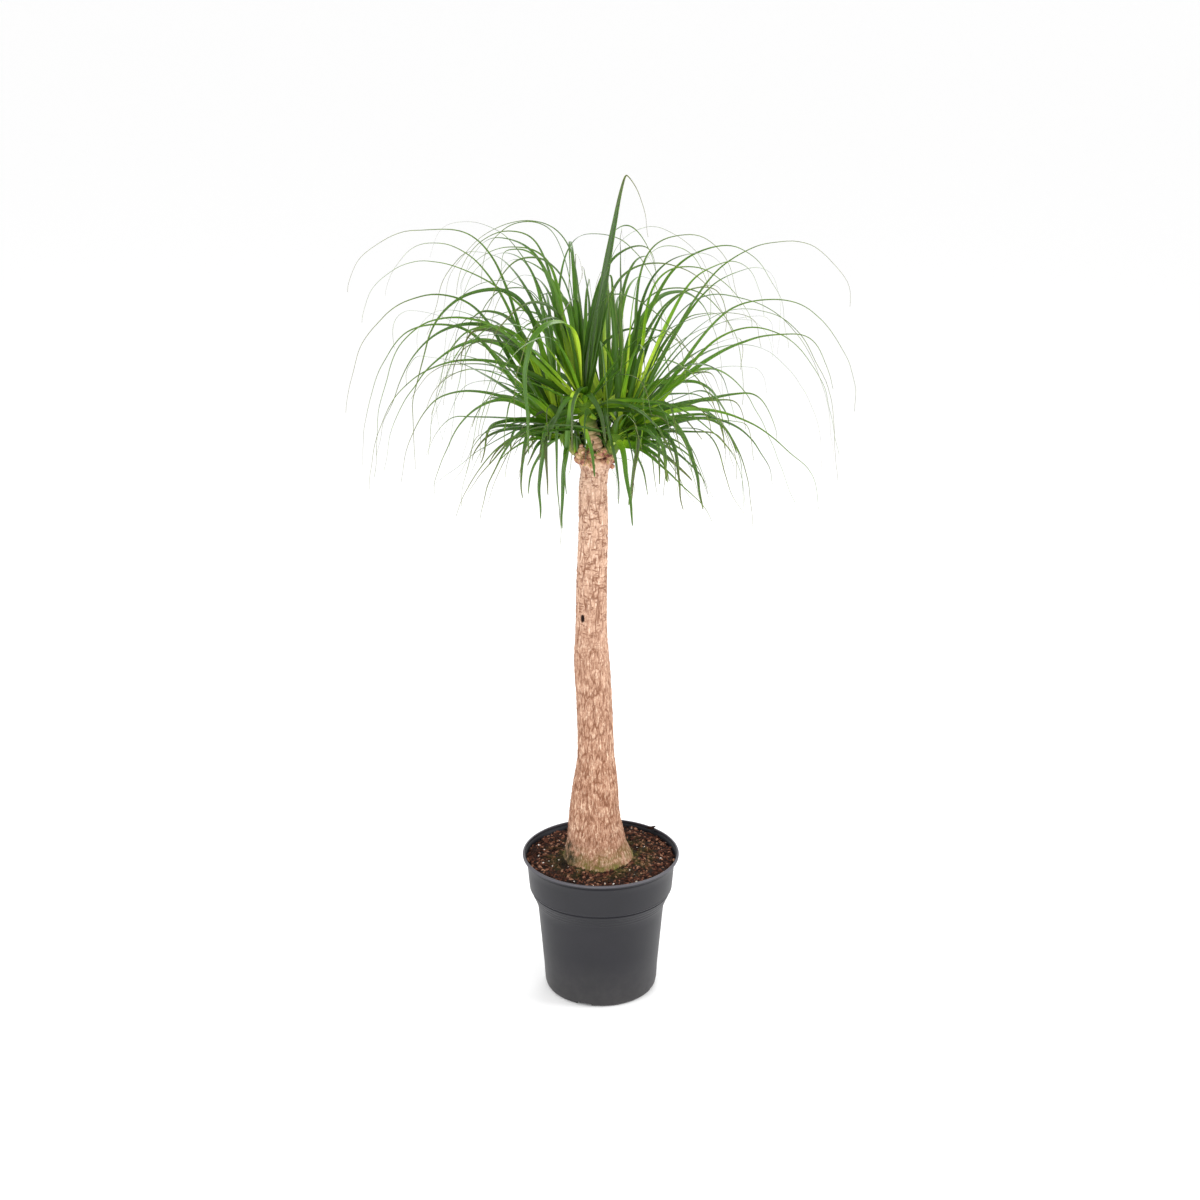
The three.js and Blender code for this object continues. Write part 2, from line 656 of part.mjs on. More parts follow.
function core(head) {
  const bud = [
    [0, 0], [SHOOT.radius, 0], [CORE.radius, 0.3 * CORE.length], [0.85 * CORE.radius, 0.7 * CORE.length],
    [CORE.tipRadius, 1.02 * CORE.length], [0, 1.06 * CORE.length],
  ];
  const lathe = new THREE.LatheGeometry(bud.map(([r, z]) => new THREE.Vector2(r, z)), CORE.sides);
  lathe.rotateX(Math.PI / 2);
  const turn = new THREE.Quaternion().setFromUnitVectors(vec(0, 0, 1), vec(...head.axis).normalize());
  lathe.applyQuaternion(turn);
  const foot = footOf(head);
  return lathe.translate(foot.x, foot.y, foot.z);
}

function heads() {
  const leaves = growLeaves();
  return HEADS.map((head, index) => {
    const blades = leaves.filter((leaf) => leaf.index === index).map((leaf) => solid(blade(leaf)));
    const joined = wasm.Manifold.union([solid(core(head)), ...blades]).simplify(BLADE.merge);
    return named(head.name, outerShell(joined), 0x4a7a2c, 0.6);
  });
}

// ---------------------------------------------------------------- the plant in its pot

const plant = new THREE.Group();
plant.add(pot(), soil(), trunk(), ...heads());
export default plant;
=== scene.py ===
# %% [markdown]
# # A potted ponytail palm
# A ponytail palm stores water in the swollen foot of its trunk. This one was sawn off at waist height, and
# four shoots grew from the callus of the cut. Each shoot ends in a head of strap leaves that rise, arch
# over and hang, drawn out to threads. It stands in a plain grey nursery pot, in coarse bark soil.
#
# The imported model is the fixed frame: its solids say where everything is. This file dresses them.

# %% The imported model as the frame
import math

import bmesh
import bpy
import numpy as np
from mathutils import Matrix, Vector


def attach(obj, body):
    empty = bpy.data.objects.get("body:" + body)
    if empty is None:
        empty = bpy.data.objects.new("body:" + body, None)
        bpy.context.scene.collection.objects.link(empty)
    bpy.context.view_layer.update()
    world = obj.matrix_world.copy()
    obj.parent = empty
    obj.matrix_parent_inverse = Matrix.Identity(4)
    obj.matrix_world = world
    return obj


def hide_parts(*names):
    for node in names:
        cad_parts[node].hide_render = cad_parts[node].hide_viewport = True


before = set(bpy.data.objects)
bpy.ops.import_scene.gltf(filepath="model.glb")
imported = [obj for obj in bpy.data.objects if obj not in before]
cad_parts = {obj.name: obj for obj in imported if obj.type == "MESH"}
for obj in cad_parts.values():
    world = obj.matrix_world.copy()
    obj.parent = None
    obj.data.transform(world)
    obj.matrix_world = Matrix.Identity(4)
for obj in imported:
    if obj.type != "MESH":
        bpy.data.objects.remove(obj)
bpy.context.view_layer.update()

MM = 0.001
print("nodes in the frame:", ", ".join(sorted(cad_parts)))

# %% [markdown]
# ## Small tools
# Colours are written as sRGB hex, as a picture shows them, and a shader wants them linear. A node tree is
# easiest to read when one function adds any node together with its settings and links. A Geometry Nodes
# tree is run once on a piece and its result is kept as a plain mesh, so nothing stays live behind it.


# %% Colours and nodes
def colour(code):
    """An sRGB hex colour as the linear numbers that a shader takes."""
    parts = [int(code[k:k + 2], 16) / 255 for k in (1, 3, 5)]
    return tuple(c / 12.92 if c <= 0.04045 else ((c + 0.055) / 1.055) ** 2.4 for c in parts) + (1.0,)


def fill(tree, filled, inputs):
    """Fills inputs of a node. What fills one is a value, a socket, or a node whose first output is meant."""
    for key, value in inputs.items():
        if isinstance(value, bpy.types.Node):
            value = value.outputs[0]
        if isinstance(value, bpy.types.NodeSocket):
            tree.links.new(value, filled.inputs[key])
        else:
            filled.inputs[key].default_value = value


def node(tree, kind, inputs=None, stops=None, **settings):
    """Adds one node, with what fills its inputs and its colour ramp."""
    new = tree.nodes.new(kind)
    for name, value in settings.items():
        setattr(new, name, value)
    fill(tree, new, inputs or {})
    if stops:
        elements = new.color_ramp.elements
        while len(elements) < len(stops):
            elements.new(1.0)
        for element, (place, code) in zip(elements, stops):
            element.position = place
            element.color = colour(code)
    return new


def paint(tree, under, *layers):
    """Lays colours over each other in turn. A layer is where it shows, from 0 to 1, and its colour."""
    for shown, over in layers:
        over = colour(over) if isinstance(over, str) else over
        under = node(tree, "ShaderNodeMix", {0: shown, 6: under, 7: over}, data_type="RGBA").outputs[2]
    return under


def away_from(tree, value, middle):
    """How far a value is from a middle one, to either side."""
    above = node(tree, "ShaderNodeMath", {0: value, 1: middle}, operation="SUBTRACT")
    return node(tree, "ShaderNodeMath", {0: above}, operation="ABSOLUTE")


def eased(tree, value, low, high, flip=False):
    """0 below low and 1 above high, or the other way round when flipped, with a smooth change between."""
    return node(tree, "ShaderNodeMapRange", {"Value": value, "From Min": low, "From Max": high,
                                             "To Min": float(flip), "To Max": float(not flip)},
                interpolation_type="SMOOTHSTEP").outputs[0]


def nudge_by_noise(tree, spot, scale, detail, reach):
    """An offset in any direction, from noise in space."""
    noise = node(tree, "ShaderNodeTexNoise", {"Vector": spot, "Scale": scale, "Detail": detail})
    centred = node(tree, "ShaderNodeVectorMath", {0: noise.outputs["Color"], 1: (0.5, 0.5, 0.5)},
                   operation="SUBTRACT")
    return node(tree, "ShaderNodeVectorMath", {0: centred, "Scale": reach}, operation="SCALE").outputs[0]


def new_material(name):
    """A material with its tree and its surface shader."""
    material = bpy.data.materials.new(name)
    material.use_nodes = True
    tree = material.node_tree
    return material, tree, tree.nodes["Principled BSDF"]


# %% Numbers
def mix(low, high, share):
    return low + (high - low) * share


def unit(vector):
    return vector / np.linalg.norm(vector)


# %% Geometry trees and pieces
SOCKET_KINDS = {float: "NodeSocketFloat", int: "NodeSocketInt"}


def new_geometry_tree(name, sizes):
    """A tree with one named input for each size. Returns the tree and its input node."""
    tree = bpy.data.node_groups.new(name, "GeometryNodeTree")
    tree.interface.new_socket("Geometry", in_out="INPUT", socket_type="NodeSocketGeometry")
    for label, value in sizes.items():
        socket = tree.interface.new_socket(label, in_out="INPUT", socket_type=SOCKET_KINDS[type(value)])
        socket.default_value = value
    tree.interface.new_socket("Geometry", in_out="OUTPUT", socket_type="NodeSocketGeometry")
    return tree, node(tree, "NodeGroupInput").outputs


def stored(tree, name, kind="FLOAT"):
    """A value that the points carry."""
    return node(tree, "GeometryNodeInputNamedAttribute", {"Name": name}, data_type=kind).outputs[0]


def finish_tree(tree, geometry, material):
    """Every tree ends alike: instances are made real, and the material is set."""
    real = node(tree, "GeometryNodeRealizeInstances", {"Geometry": geometry})
    dressed = node(tree, "GeometryNodeSetMaterial", {"Geometry": real, "Material": material})
    node(tree, "NodeGroupOutput", {0: dressed})


def new_piece(name, mesh):
    piece = bpy.data.objects.new(name, mesh)
    bpy.context.scene.collection.objects.link(piece)
    return piece


def run_tree(piece, tree, sizes):
    """Runs a tree on a piece with these sizes, and keeps the result as the piece's own plain mesh."""
    modifier = piece.modifiers.new(tree.name, "NODES")
    modifier.node_group = tree
    for item in tree.interface.items_tree:
        if item.in_out == "INPUT" and item.name in sizes:
            modifier[item.identifier] = sizes[item.name]
    graph = bpy.context.evaluated_depsgraph_get()
    mesh = bpy.data.meshes.new_from_object(piece.evaluated_get(graph), preserve_all_data_layers=True,
                                           depsgraph=graph)
    piece.modifiers.remove(modifier)
    source = piece.data
    piece.data = mesh
    bpy.data.meshes.remove(source)
    print(piece.name, "has", len(mesh.vertices), "points and", len(mesh.polygons), "faces")


def add_values(mesh, name, values):
    """Stores one number or one vector for each point of a mesh."""
    values = np.asarray(values, np.float32)
    kind, slot = ("FLOAT", "value") if values.ndim == 1 else ("FLOAT_VECTOR", "vector")
    mesh.attributes.new(name, kind, "POINT").data.foreach_set(slot, values.ravel())


def chain_mesh(name, chains):
    mesh = bpy.data.meshes.new(name)
    points = np.concatenate([chain["place"] for chain in chains])
    edges = []
    first = 0
    for chain in chains:
        count = len(chain["place"])
        edges += [(first + k, first + k + 1) for k in range(count - 1)]
        first += count
    mesh.from_pydata(points.tolist(), edges, [])
    for key in chains[0]:
        if key != "place":
            add_values(mesh, key, np.concatenate([chain[key] for chain in chains]))
    return mesh


def mesh_of(shape, name):
    """The mesh of a finished bmesh, which is freed."""
    mesh = bpy.data.meshes.new(name)
    shape.to_mesh(mesh)
    shape.free()
    return mesh


def smooth(mesh, sharp_degrees=180):
    mesh.shade_smooth()
    mesh.set_sharp_from_angle(angle=math.radians(sharp_degrees))


# %% [markdown]
# ## Camera, light and floor
# The pot's rim and foot look like ellipses, and their flatness gives the camera's height: it looks down at
# the plant by about nineteen degrees, from a little above head height, through a long lens. The studio is a
# pale floor under an even white sky, with one large soft light at each side that draws the pot's pale
# edges, and a low one in front that reaches the undersides of the leaves.

# %% Camera
CAMERA_AWAY = 3.2
CAMERA_SIDE = -0.0014
CAMERA_HEIGHT = 1.8
CAMERA_PITCH = math.radians(18.85)
CAMERA_LENS = 61.4

camera_data = bpy.data.cameras.new("camera")
camera_data.lens = CAMERA_LENS
camera_data.sensor_width = 36
camera = bpy.data.objects.new("camera", camera_data)
bpy.context.scene.collection.objects.link(camera)
camera.location = (CAMERA_SIDE, -CAMERA_AWAY, CAMERA_HEIGHT)
camera.rotation_euler = (math.pi / 2 - CAMERA_PITCH, 0, 0)
bpy.context.scene.camera = camera

# %% Light
world = bpy.data.worlds.new("white sky")
bpy.context.scene.world = world
world.use_nodes = True
sky = world.node_tree.nodes["Background"]
sky.inputs["Color"].default_value = (1, 1, 1, 1)
sky.inputs["Strength"].default_value = 1.0
bpy.context.scene.view_settings.view_transform = "Standard"
bpy.context.scene.view_settings.look = "None"


def soft_light(name, place, target, size, power):
    lamp = bpy.data.lights.new(name, "AREA")
    lamp.shape = "DISK"
    lamp.size = size
    lamp.energy = power
    light = bpy.data.objects.new(name, lamp)
    bpy.context.scene.collection.objects.link(light)
    light.location = place
    light.rotation_euler = (Vector(target) - Vector(place)).to_track_quat("-Z", "Y").to_euler()


soft_light("key light", (-2.2, -2.0, 3.0), (0, 0, 0.8), 1.6, 36)
soft_light("front light", (-0.8, -3.0, 0.5), (0, 0, 0.95), 1.6, 40)
soft_light("right light", (2.9, -0.5, 1.9), (0, 0, 0.6), 1.4, 56)
soft_light("back light", (0.4, 2.4, 2.8), (0, 0, 1.0), 1.4, 25)

# %% Floor
FLOOR_RADIUS = 60.0
floor_material, tree, shader = new_material("pale studio floor")
cloud = node(tree, "ShaderNodeTexNoise", {"Scale": 3.0, "Detail": 2.0})
paper = node(tree, "ShaderNodeValToRGB", {"Fac": cloud}, stops=[(0, "#FDFDFD"), (1, "#FFFFFF")])
fill(tree, shader, {"Base Color": paper, "Roughness": 0.85})

shape = bmesh.new()
bmesh.ops.create_circle(shape, cap_ends=True, segments=64, radius=FLOOR_RADIUS)
floor_mesh = mesh_of(shape, "floor")
floor_mesh.materials.append(floor_material)
floor = new_piece("floor", floor_mesh)

# %% [markdown]
# ## Pot
# A nursery pot is polypropylene, injection moulded in one shot: a thin wall, a rolled lip to carry it by, a
# collar over a shoulder so that pots stack, and a raised floor with drain holes. The outline below is the
# wall's outside from foot to lip. Cutting its corners twice rounds them as a mould does, and turning it
# round the axis makes the shell. What drains it is cut out afterwards with a boolean.

# %% The pot's outline
POT_WALL = 2.0
WALL_FROM = 20  # between these heights the wall has its own inside
WALL_TO = 245
POT_FLOOR_UNDER = 7.0
POT_FLOOR_OVER = 10.0
POT_FLOOR_RADIUS = 93.5
POT_FOOT_INNER = 84.0
POT_OUTSIDE = [  # radius, height
    (90, 0), (95, 2.5), (97.5, 12), (99, 40), (108.6, 149), (110.6, 159), (115, 171), (120.6, 182),
    (123.4, 190), (125, 208), (126.8, 230), (130.4, 242), (133.8, 244), (134.8, 246), (134.6, 249),
    (133, 250), (131.2, 249.5),
]
ROUNDED = 3.0  # how far back from a corner it is cut
RINGS = [  # height, how far it stands out, half of its width
    (187.8, 0.6, 1.2), (184.2, -1.1, 1.2), (176, 0.5, 1.1), (169.5, 0.45, 1.1), (163.5, 0.4, 1.1),
]
RINGED_BELOW = 4  # the finely stepped part of the outline goes past the outer rings by this
RINGED_ABOVE = 2
RING_STEP_FINE = 0.7
TURNED_BACK = 4  # the last points of the outline, where the lip turns inwards


def cut_corners(points, back=ROUNDED):
    """Rounds an open outline by cutting every corner twice, and keeps its two ends."""
    for reach in (back, back / 3):
        rounded = [points[0]]
        for (r0, z0), (r1, z1) in zip(points, points[1:]):
            share = min(0.25, reach / math.hypot(r1 - r0, z1 - z0))
            rounded.append((mix(r0, r1, share), mix(z0, z1, share)))
            rounded.append((mix(r1, r0, share), mix(z1, z0, share)))
        points = rounded + [points[-1]]
    return points


def with_rings(points):
    """Adds points where the faint rings and grooves are, and lifts or sinks them."""
    low = min(RINGS)[0] - RINGED_BELOW
    high = max(RINGS)[0] + RINGED_ABOVE
    radii, heights = zip(*points[:-TURNED_BACK])
    ringed = []
    for z in np.arange(low, high, RING_STEP_FINE):
        proud = sum(out * math.exp(-((z - middle) / half) ** 2) for middle, out, half in RINGS)
        ringed.append((float(np.interp(z, heights, radii)) + proud, float(z)))
    below = [p for p in points if p[1] < low]
    above = points[[p[1] >= high for p in points].index(True):]
    return below + ringed + above


outside = with_rings(cut_corners(POT_OUTSIDE))
wall = cut_corners([point for point in POT_OUTSIDE if WALL_FROM < point[1] < WALL_TO])
inside = [(r - POT_WALL, z + POT_WALL / 2) for r, z in reversed(wall)]
underside = [(POT_FLOOR_RADIUS, POT_FLOOR_OVER), (0, POT_FLOOR_OVER), (0, POT_FLOOR_UNDER),
             (POT_FOOT_INNER, POT_FLOOR_UNDER), (POT_FOOT_INNER, 0)]
pot_outline = outside + inside + underside
print("pot outline:", len(pot_outline), "points")

# %% Turn the outline into the pot's shell
POT_SIDES = 128
POT_SHARP = 35  # degrees from which an edge stays sharp
WELD = 0.05 * MM
shape = bmesh.new()
ring = [shape.verts.new((r * MM, 0, z * MM)) for r, z in pot_outline]
edges = [shape.edges.new(pair) for pair in zip(ring, ring[1:] + ring[:1])]
bmesh.ops.spin(shape, geom=ring + edges, axis=(0, 0, 1), cent=(0, 0, 0), steps=POT_SIDES, angle=2 * math.pi)
bmesh.ops.remove_doubles(shape, verts=shape.verts, dist=WELD)
bmesh.ops.recalc_face_normals(shape, faces=shape.faces)
pot = new_piece("nursery_pot", mesh_of(shape, "nursery_pot"))

# %% Cut the notches in the foot and the drain holes in the floor
NOTCH_WIDTH = 27.0
NOTCH_HEIGHT = 6.0
NOTCH_COUNT = 4
NOTCH_FIRST = math.radians(-108)
NOTCH_CUTTER = 30.0  # how long the block is that cuts a notch
DRAIN_RADIUS = 5.0
DRAIN_RING = 58.0
DRAIN_COUNT = 6
DRAIN_CUTTER = 20.0

shape = bmesh.new()
for k in range(NOTCH_COUNT):
    turn = Matrix.Rotation(NOTCH_FIRST + k * 2 * math.pi / NOTCH_COUNT, 4, "Z")
    place = Matrix.Translation((POT_OUTSIDE[0][0] * MM, 0, 0))
    block = Matrix.Diagonal((NOTCH_CUTTER * MM, NOTCH_WIDTH * MM, 2 * NOTCH_HEIGHT * MM, 1))
    bmesh.ops.create_cube(shape, size=1, matrix=turn @ place @ block)
for k in range(DRAIN_COUNT):
    turn = Matrix.Rotation(k * 2 * math.pi / DRAIN_COUNT, 4, "Z")
    place = Matrix.Translation((DRAIN_RING * MM, 0, POT_FLOOR_OVER * MM))
    bmesh.ops.create_cone(shape, cap_ends=True, segments=24, radius1=DRAIN_RADIUS * MM,
                          radius2=DRAIN_RADIUS * MM, depth=DRAIN_CUTTER * MM, matrix=turn @ place)
cutter = new_piece("cutter", mesh_of(shape, "cutter"))
cut = pot.modifiers.new("drain", "BOOLEAN")
cut.object = cutter
cut.operation = "DIFFERENCE"
graph = bpy.context.evaluated_depsgraph_get()
pot_mesh = bpy.data.meshes.new_from_object(pot.evaluated_get(graph))
pot.modifiers.remove(cut)
pot.data = pot_mesh
bpy.data.objects.remove(cutter)
smooth(pot_mesh, POT_SHARP)
print("pot:", len(pot_mesh.polygons), "faces")

# %% [markdown]
# ### Pot finish: moulded polypropylene
# Nursery pots are moulded from recycled polypropylene, coloured grey with carbon black. The mould is only
# lightly polished, so the surface is satin with a very fine grain, a little uneven where the plastic
# flowed, and dulled by dust and dried water low down. A painted highlight makes the lip paler, and painted
# shade takes the shine off the grooves below the lip and the collar. The grain is finer than a pixel, so it
# is drawn at 1.2 mm.

# %% Pot finish
LIP_PAINTED_HIGHLIGHT = (245.5 * MM, 247.5 * MM)  # painted highlight on the lip's top edge: from none to full
DUSTY_BELOW = 90 * MM
DUST = 0.4
GROOVES = [(241.5 * MM, 3.5 * MM), (184.2 * MM, 2.2 * MM)]  # height and half width
GROOVE_MIDDLE = 0.4  # share of a groove that is fully dull
SHINE = 0.42
GROOVE_SHINE_IN_PAINTED_SHADE = 0.35  # painted shade: share of the shine that is left in a groove
GRAIN = 1.2 * MM
pot_material, tree, shader = new_material("moulded polypropylene")
place = node(tree, "ShaderNodeTexCoord").outputs["Object"]
height = node(tree, "ShaderNodeSeparateXYZ", {"Vector": place}).outputs["Z"]
flow = node(tree, "ShaderNodeTexNoise", {"Vector": place, "Scale": 14.0, "Detail": 3.0})
tone = node(tree, "ShaderNodeValToRGB", {"Fac": flow}, stops=[(0.3, "#0F0F15"), (0.7, "#16151C")])
low_down = node(tree, "ShaderNodeMapRange", {"Value": height, "From Max": DUSTY_BELOW, "To Min": DUST,
                                             "To Max": 0.0})
specks = node(tree, "ShaderNodeTexNoise", {"Vector": place, "Scale": 60.0, "Detail": 4.0, "Roughness": 0.7})
dust = node(tree, "ShaderNodeMath", {0: low_down, 1: specks}, operation="MULTIPLY")
# painted highlight: the top of the lip is coloured paler, where the lights catch its edge
painted_lip_highlight = node(tree, "ShaderNodeMapRange", {"Value": height, "From Min": LIP_PAINTED_HIGHLIGHT[0],
                                           "From Max": LIP_PAINTED_HIGHLIGHT[1]})
shine = SHINE
# painted shade: the shine is taken down in the grooves under the lip and the collar, so that they look shaded
for middle, half in GROOVES:
    kept = node(tree, "ShaderNodeMapRange",
                {"Value": away_from(tree, height, middle), "From Min": GROOVE_MIDDLE * half, "From Max": half,
                 "To Min": GROOVE_SHINE_IN_PAINTED_SHADE, "To Max": 1.0})
    shine = node(tree, "ShaderNodeMath", {0: kept, 1: shine}, operation="MULTIPLY")
rough = node(tree, "ShaderNodeMapRange", {"Value": flow, "To Min": 0.42, "To Max": 0.54})
grain = node(tree, "ShaderNodeTexNoise", {"Vector": place, "Scale": 1 / GRAIN, "Detail": 2.0})
bump = node(tree, "ShaderNodeBump", {"Height": grain, "Strength": 0.1, "Distance": 0.3 * MM})
pot_tone = paint(tree, tone, (dust, "#5A5753"), (painted_lip_highlight, "#48464C"))
fill(tree, shader, {"Base Color": pot_tone, "Roughness": rough, "Specular IOR Level": shine, "IOR": 1.49,
                    "Normal": bump})
pot_mesh.materials.clear()
pot_mesh.materials.append(pot_material)
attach(pot, "root")
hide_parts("pot")

# %% [markdown]
# ## Trunk
# The trunk is a bare column: a wide foot that comes out of the soil, a waist, and a thickened ring of
# callus where it was sawn. Rings of points follow its middle and radius up its height, close enough for the
# cracks of the bark to be real dents. A Geometry Nodes tree then pushes the surface in where a crack runs,
# and the finish darkens the same cracks.

# %% The trunk's form
TRUNK_TOP = 955
TRUNK_BURIED = 168
TRUNK_SIDES = 150
RING_STEP = 1.7
DOME = 3  # the sawn top is gently domed, by this height
DOME_SHARES = (0.8, 0.55, 0.3, 0.1)  # of the top's radius
TRUNK_FORM = [  # height, radius, x of its middle
    (180, 34, -4), (192, 51, -4), (210, 63, -4), (232, 64, -4), (252, 57, -5.5), (271, 51, -7.5),
    (300, 46.8, -9.5), (330, 42.8, -11), (375, 39, -9.5), (400, 35.5, -8.5), (435, 31.4, -8.3),
    (520, 30.3, -10.8), (600, 30, -15), (650, 26.8, -16), (740, 25.5, -15), (830, 24.5, -12.3),
    (900, 23.4, -12.6), (928, 22.8, -10.5), (938, 25.5, -9), (949, 27.5, -9), (955, 22, -9.5),
]


def along_trunk(height, column):
    """One column of the form at a height, on a smooth curve through its rows."""
    heights = [row[0] for row in TRUNK_FORM]
    k = int(np.clip(np.searchsorted(heights, height), 1, len(heights) - 1))
    rows = [TRUNK_FORM[int(np.clip(j, 0, len(heights) - 1))] for j in (k - 2, k - 1, k, k + 1)]
    z0, z1, z2, z3 = (row[0] for row in rows)
    p0, p1, p2, p3 = (row[column] for row in rows)
    t = min(1.0, max(0.0, (height - z1) / (z2 - z1)))
    m1 = (p2 - p0) / max(1, z2 - z0) * (z2 - z1)
    m2 = (p3 - p1) / max(1, z3 - z1) * (z2 - z1)
    return ((2 * t ** 3 - 3 * t ** 2 + 1) * p1 + (t ** 3 - 2 * t ** 2 + t) * m1
            + (3 * t ** 2 - 2 * t ** 3) * p2 + (t ** 3 - t ** 2) * m2)


def skin_rings(rings, name):
    """A closed mesh over rings of points, each of the same count, with both ends filled."""
    shape = bmesh.new()
    made = [[shape.verts.new(point) for point in ring] for ring in rings]
    for low, high in zip(made, made[1:]):
        for k in range(len(low)):
            j = (k + 1) % len(low)
            shape.faces.new((low[k], low[j], high[j], high[k]))
    shape.faces.new(made[0][::-1])
    shape.faces.new(made[-1])
    return mesh_of(shape, name)


trunk_angles = np.linspace(0, 2 * math.pi, TRUNK_SIDES, endpoint=False)


def trunk_ring(middle, radius, height):
    return [((middle + radius * math.cos(a)) * MM, radius * math.sin(a) * MM, height * MM)
            for a in trunk_angles]


buried_heights = [180, 186, 192, 201, 210, 221]
shown_heights = np.arange(228, TRUNK_TOP - 2, RING_STEP)  # closer, from just under the soil
trunk_rings = [trunk_ring(along_trunk(z, 2), along_trunk(z, 1), z)
               for z in [*buried_heights, *shown_heights, TRUNK_TOP]]
_, top_radius, top_middle = TRUNK_FORM[-1]
trunk_rings += [trunk_ring(top_middle, share * top_radius, TRUNK_TOP + DOME * (1 - share ** 2))
                for share in DOME_SHARES]
buried_end = [(mix(TRUNK_FORM[0][2] * MM, x, 0.5), y * 0.5, TRUNK_BURIED * MM) for x, y, _ in trunk_rings[0]]
trunk_mesh = skin_rings([buried_end, *trunk_rings], "barked_trunk")
trunk = new_piece("barked_trunk", trunk_mesh)
print("trunk:", len(trunk_rings), "rings of", TRUNK_SIDES)

# %% [markdown]
# ### Bark relief
# Old ponytail bark is corky and splits into small plates. Towards the top the plates are blocky, between
# short lines that run along and across: a stretched noise makes them where it crosses its middle value.
# Lower down the trunk has swollen and the cracks are torn into upright streaks, which are the edges of long
# Voronoi cells. Patterns in space have no seam, which one wrapped round the trunk would show. One function
# makes the whole pattern in any tree, so the relief and the finish use the same cracks.

# %% Bark pattern
BARK = {
    "Wander": 4.5 * MM,
    "Upright spacing": 11 * MM,
    "Upright length": 60 * MM,
    "Level spacing": 6.5 * MM,
    "Level length": 26 * MM,
    "Streak width": 7 * MM,
    "Streak height": 34 * MM,
    "Chip width": 5.5 * MM,
    "Chip height": 8 * MM,
    "Chips shown": 0.4,
    "Crack depth": 1.4 * MM,
    "Plates from": 0.50,
    "Plates full": 0.74,
    "Callus from": 0.934,
    "Callus full": 0.946,
    "Callus depth": 4.0 * MM,
    "Knot depth": 3.0 * MM,
}
KNOT = (-29.7 * MM, -19.5 * MM, 682 * MM)  # a little under the bark
KNOT_HALF = (4.5 * MM, 5.5 * MM, 9 * MM)
WANDER_SCALE = 60.0


def cell_cracks(tree, cells, narrow):
    """1 on the edges between cells."""
    edge = node(tree, "ShaderNodeTexVoronoi", {"Vector": cells, "Scale": 1.0, "Randomness": 0.95},
                feature="DISTANCE_TO_EDGE")
    return eased(tree, edge, 0.0, narrow, flip=True)


def torn_lines(tree, cells, narrow):
    """1 on the wandering lines where a noise crosses its middle value."""
    noise = node(tree, "ShaderNodeTexNoise", {"Vector": cells, "Scale": 1.0, "Detail": 1.0})
    return eased(tree, away_from(tree, noise, 0.5), 0.0, narrow, flip=True)


CRACKS = [  # what draws them, their width and height in BARK, how narrow they are, the scale of the patches
    # that they open in, and where these patches begin and are full
    (torn_lines, "Upright spacing", "Upright length", 0.06, 60.0, 0.40, 0.52),
    (torn_lines, "Level length", "Level spacing", 0.075, 80.0, 0.42, 0.56),
    (cell_cracks, "Streak width", "Streak height", 0.2, 70.0, 0.38, 0.58),
    (cell_cracks, "Chip width", "Chip height", 0.2, 90.0, 0.36, 0.6),
]


def patchy_cracks(tree, spot, bent, size, draw, across, tall, narrow, scale, low, high):
    """Cracks of one kind. Space is divided by their size, so that a pattern of size 1 gets that size."""
    wide = node(tree, "ShaderNodeCombineXYZ", {"X": size[across], "Y": size[across], "Z": size[tall]})
    cells = node(tree, "ShaderNodeVectorMath", {0: bent, 1: wide}, operation="DIVIDE")
    patches = node(tree, "ShaderNodeTexNoise", {"Vector": spot, "Scale": scale, "Detail": 3.0})
    return node(tree, "ShaderNodeMath", {0: draw(tree, cells, narrow), 1: eased(tree, patches, low, high)},
                operation="MULTIPLY")


def bark_pattern(tree, spot, size):
    """How deep in a crack a spot is, and how deep in the knot hole, both from 0 to 1."""
    nudge = nudge_by_noise(tree, spot, WANDER_SCALE, 2.0, size["Wander"])
    bent = node(tree, "ShaderNodeVectorMath", {0: spot, 1: nudge}, operation="ADD")
    upright, level, streaks, chips = (patchy_cracks(tree, spot, bent, size, *row) for row in CRACKS)
    plates = node(tree, "ShaderNodeMath", {0: upright, 1: level}, operation="MAXIMUM")
    small = node(tree, "ShaderNodeMath", {0: chips, 1: size["Chips shown"]}, operation="MULTIPLY")
    height = node(tree, "ShaderNodeSeparateXYZ", {"Vector": spot}).outputs["Z"]
    high_up = eased(tree, height, size["Plates from"], size["Plates full"])
    large = node(tree, "ShaderNodeMix", {0: high_up, 2: streaks, 3: plates}, data_type="FLOAT")
    torn = node(tree, "ShaderNodeMath", {0: large, 1: small}, operation="MAXIMUM")
    bare = eased(tree, height, size["Callus from"], size["Callus full"], flip=True)
    opened = node(tree, "ShaderNodeMath", {0: torn, 1: bare}, operation="MULTIPLY")
    from_knot = node(tree, "ShaderNodeVectorMath", {0: spot, 1: KNOT}, operation="SUBTRACT")
    knot_share = node(tree, "ShaderNodeVectorMath", {0: from_knot, 1: KNOT_HALF}, operation="DIVIDE")
    knot_far = node(tree, "ShaderNodeVectorMath", {0: knot_share}, operation="LENGTH").outputs["Value"]
    knot = eased(tree, knot_far, 0.5, 1.0, flip=True)
    return node(tree, "ShaderNodeMath", {0: opened, 1: knot}, operation="MAXIMUM"), knot


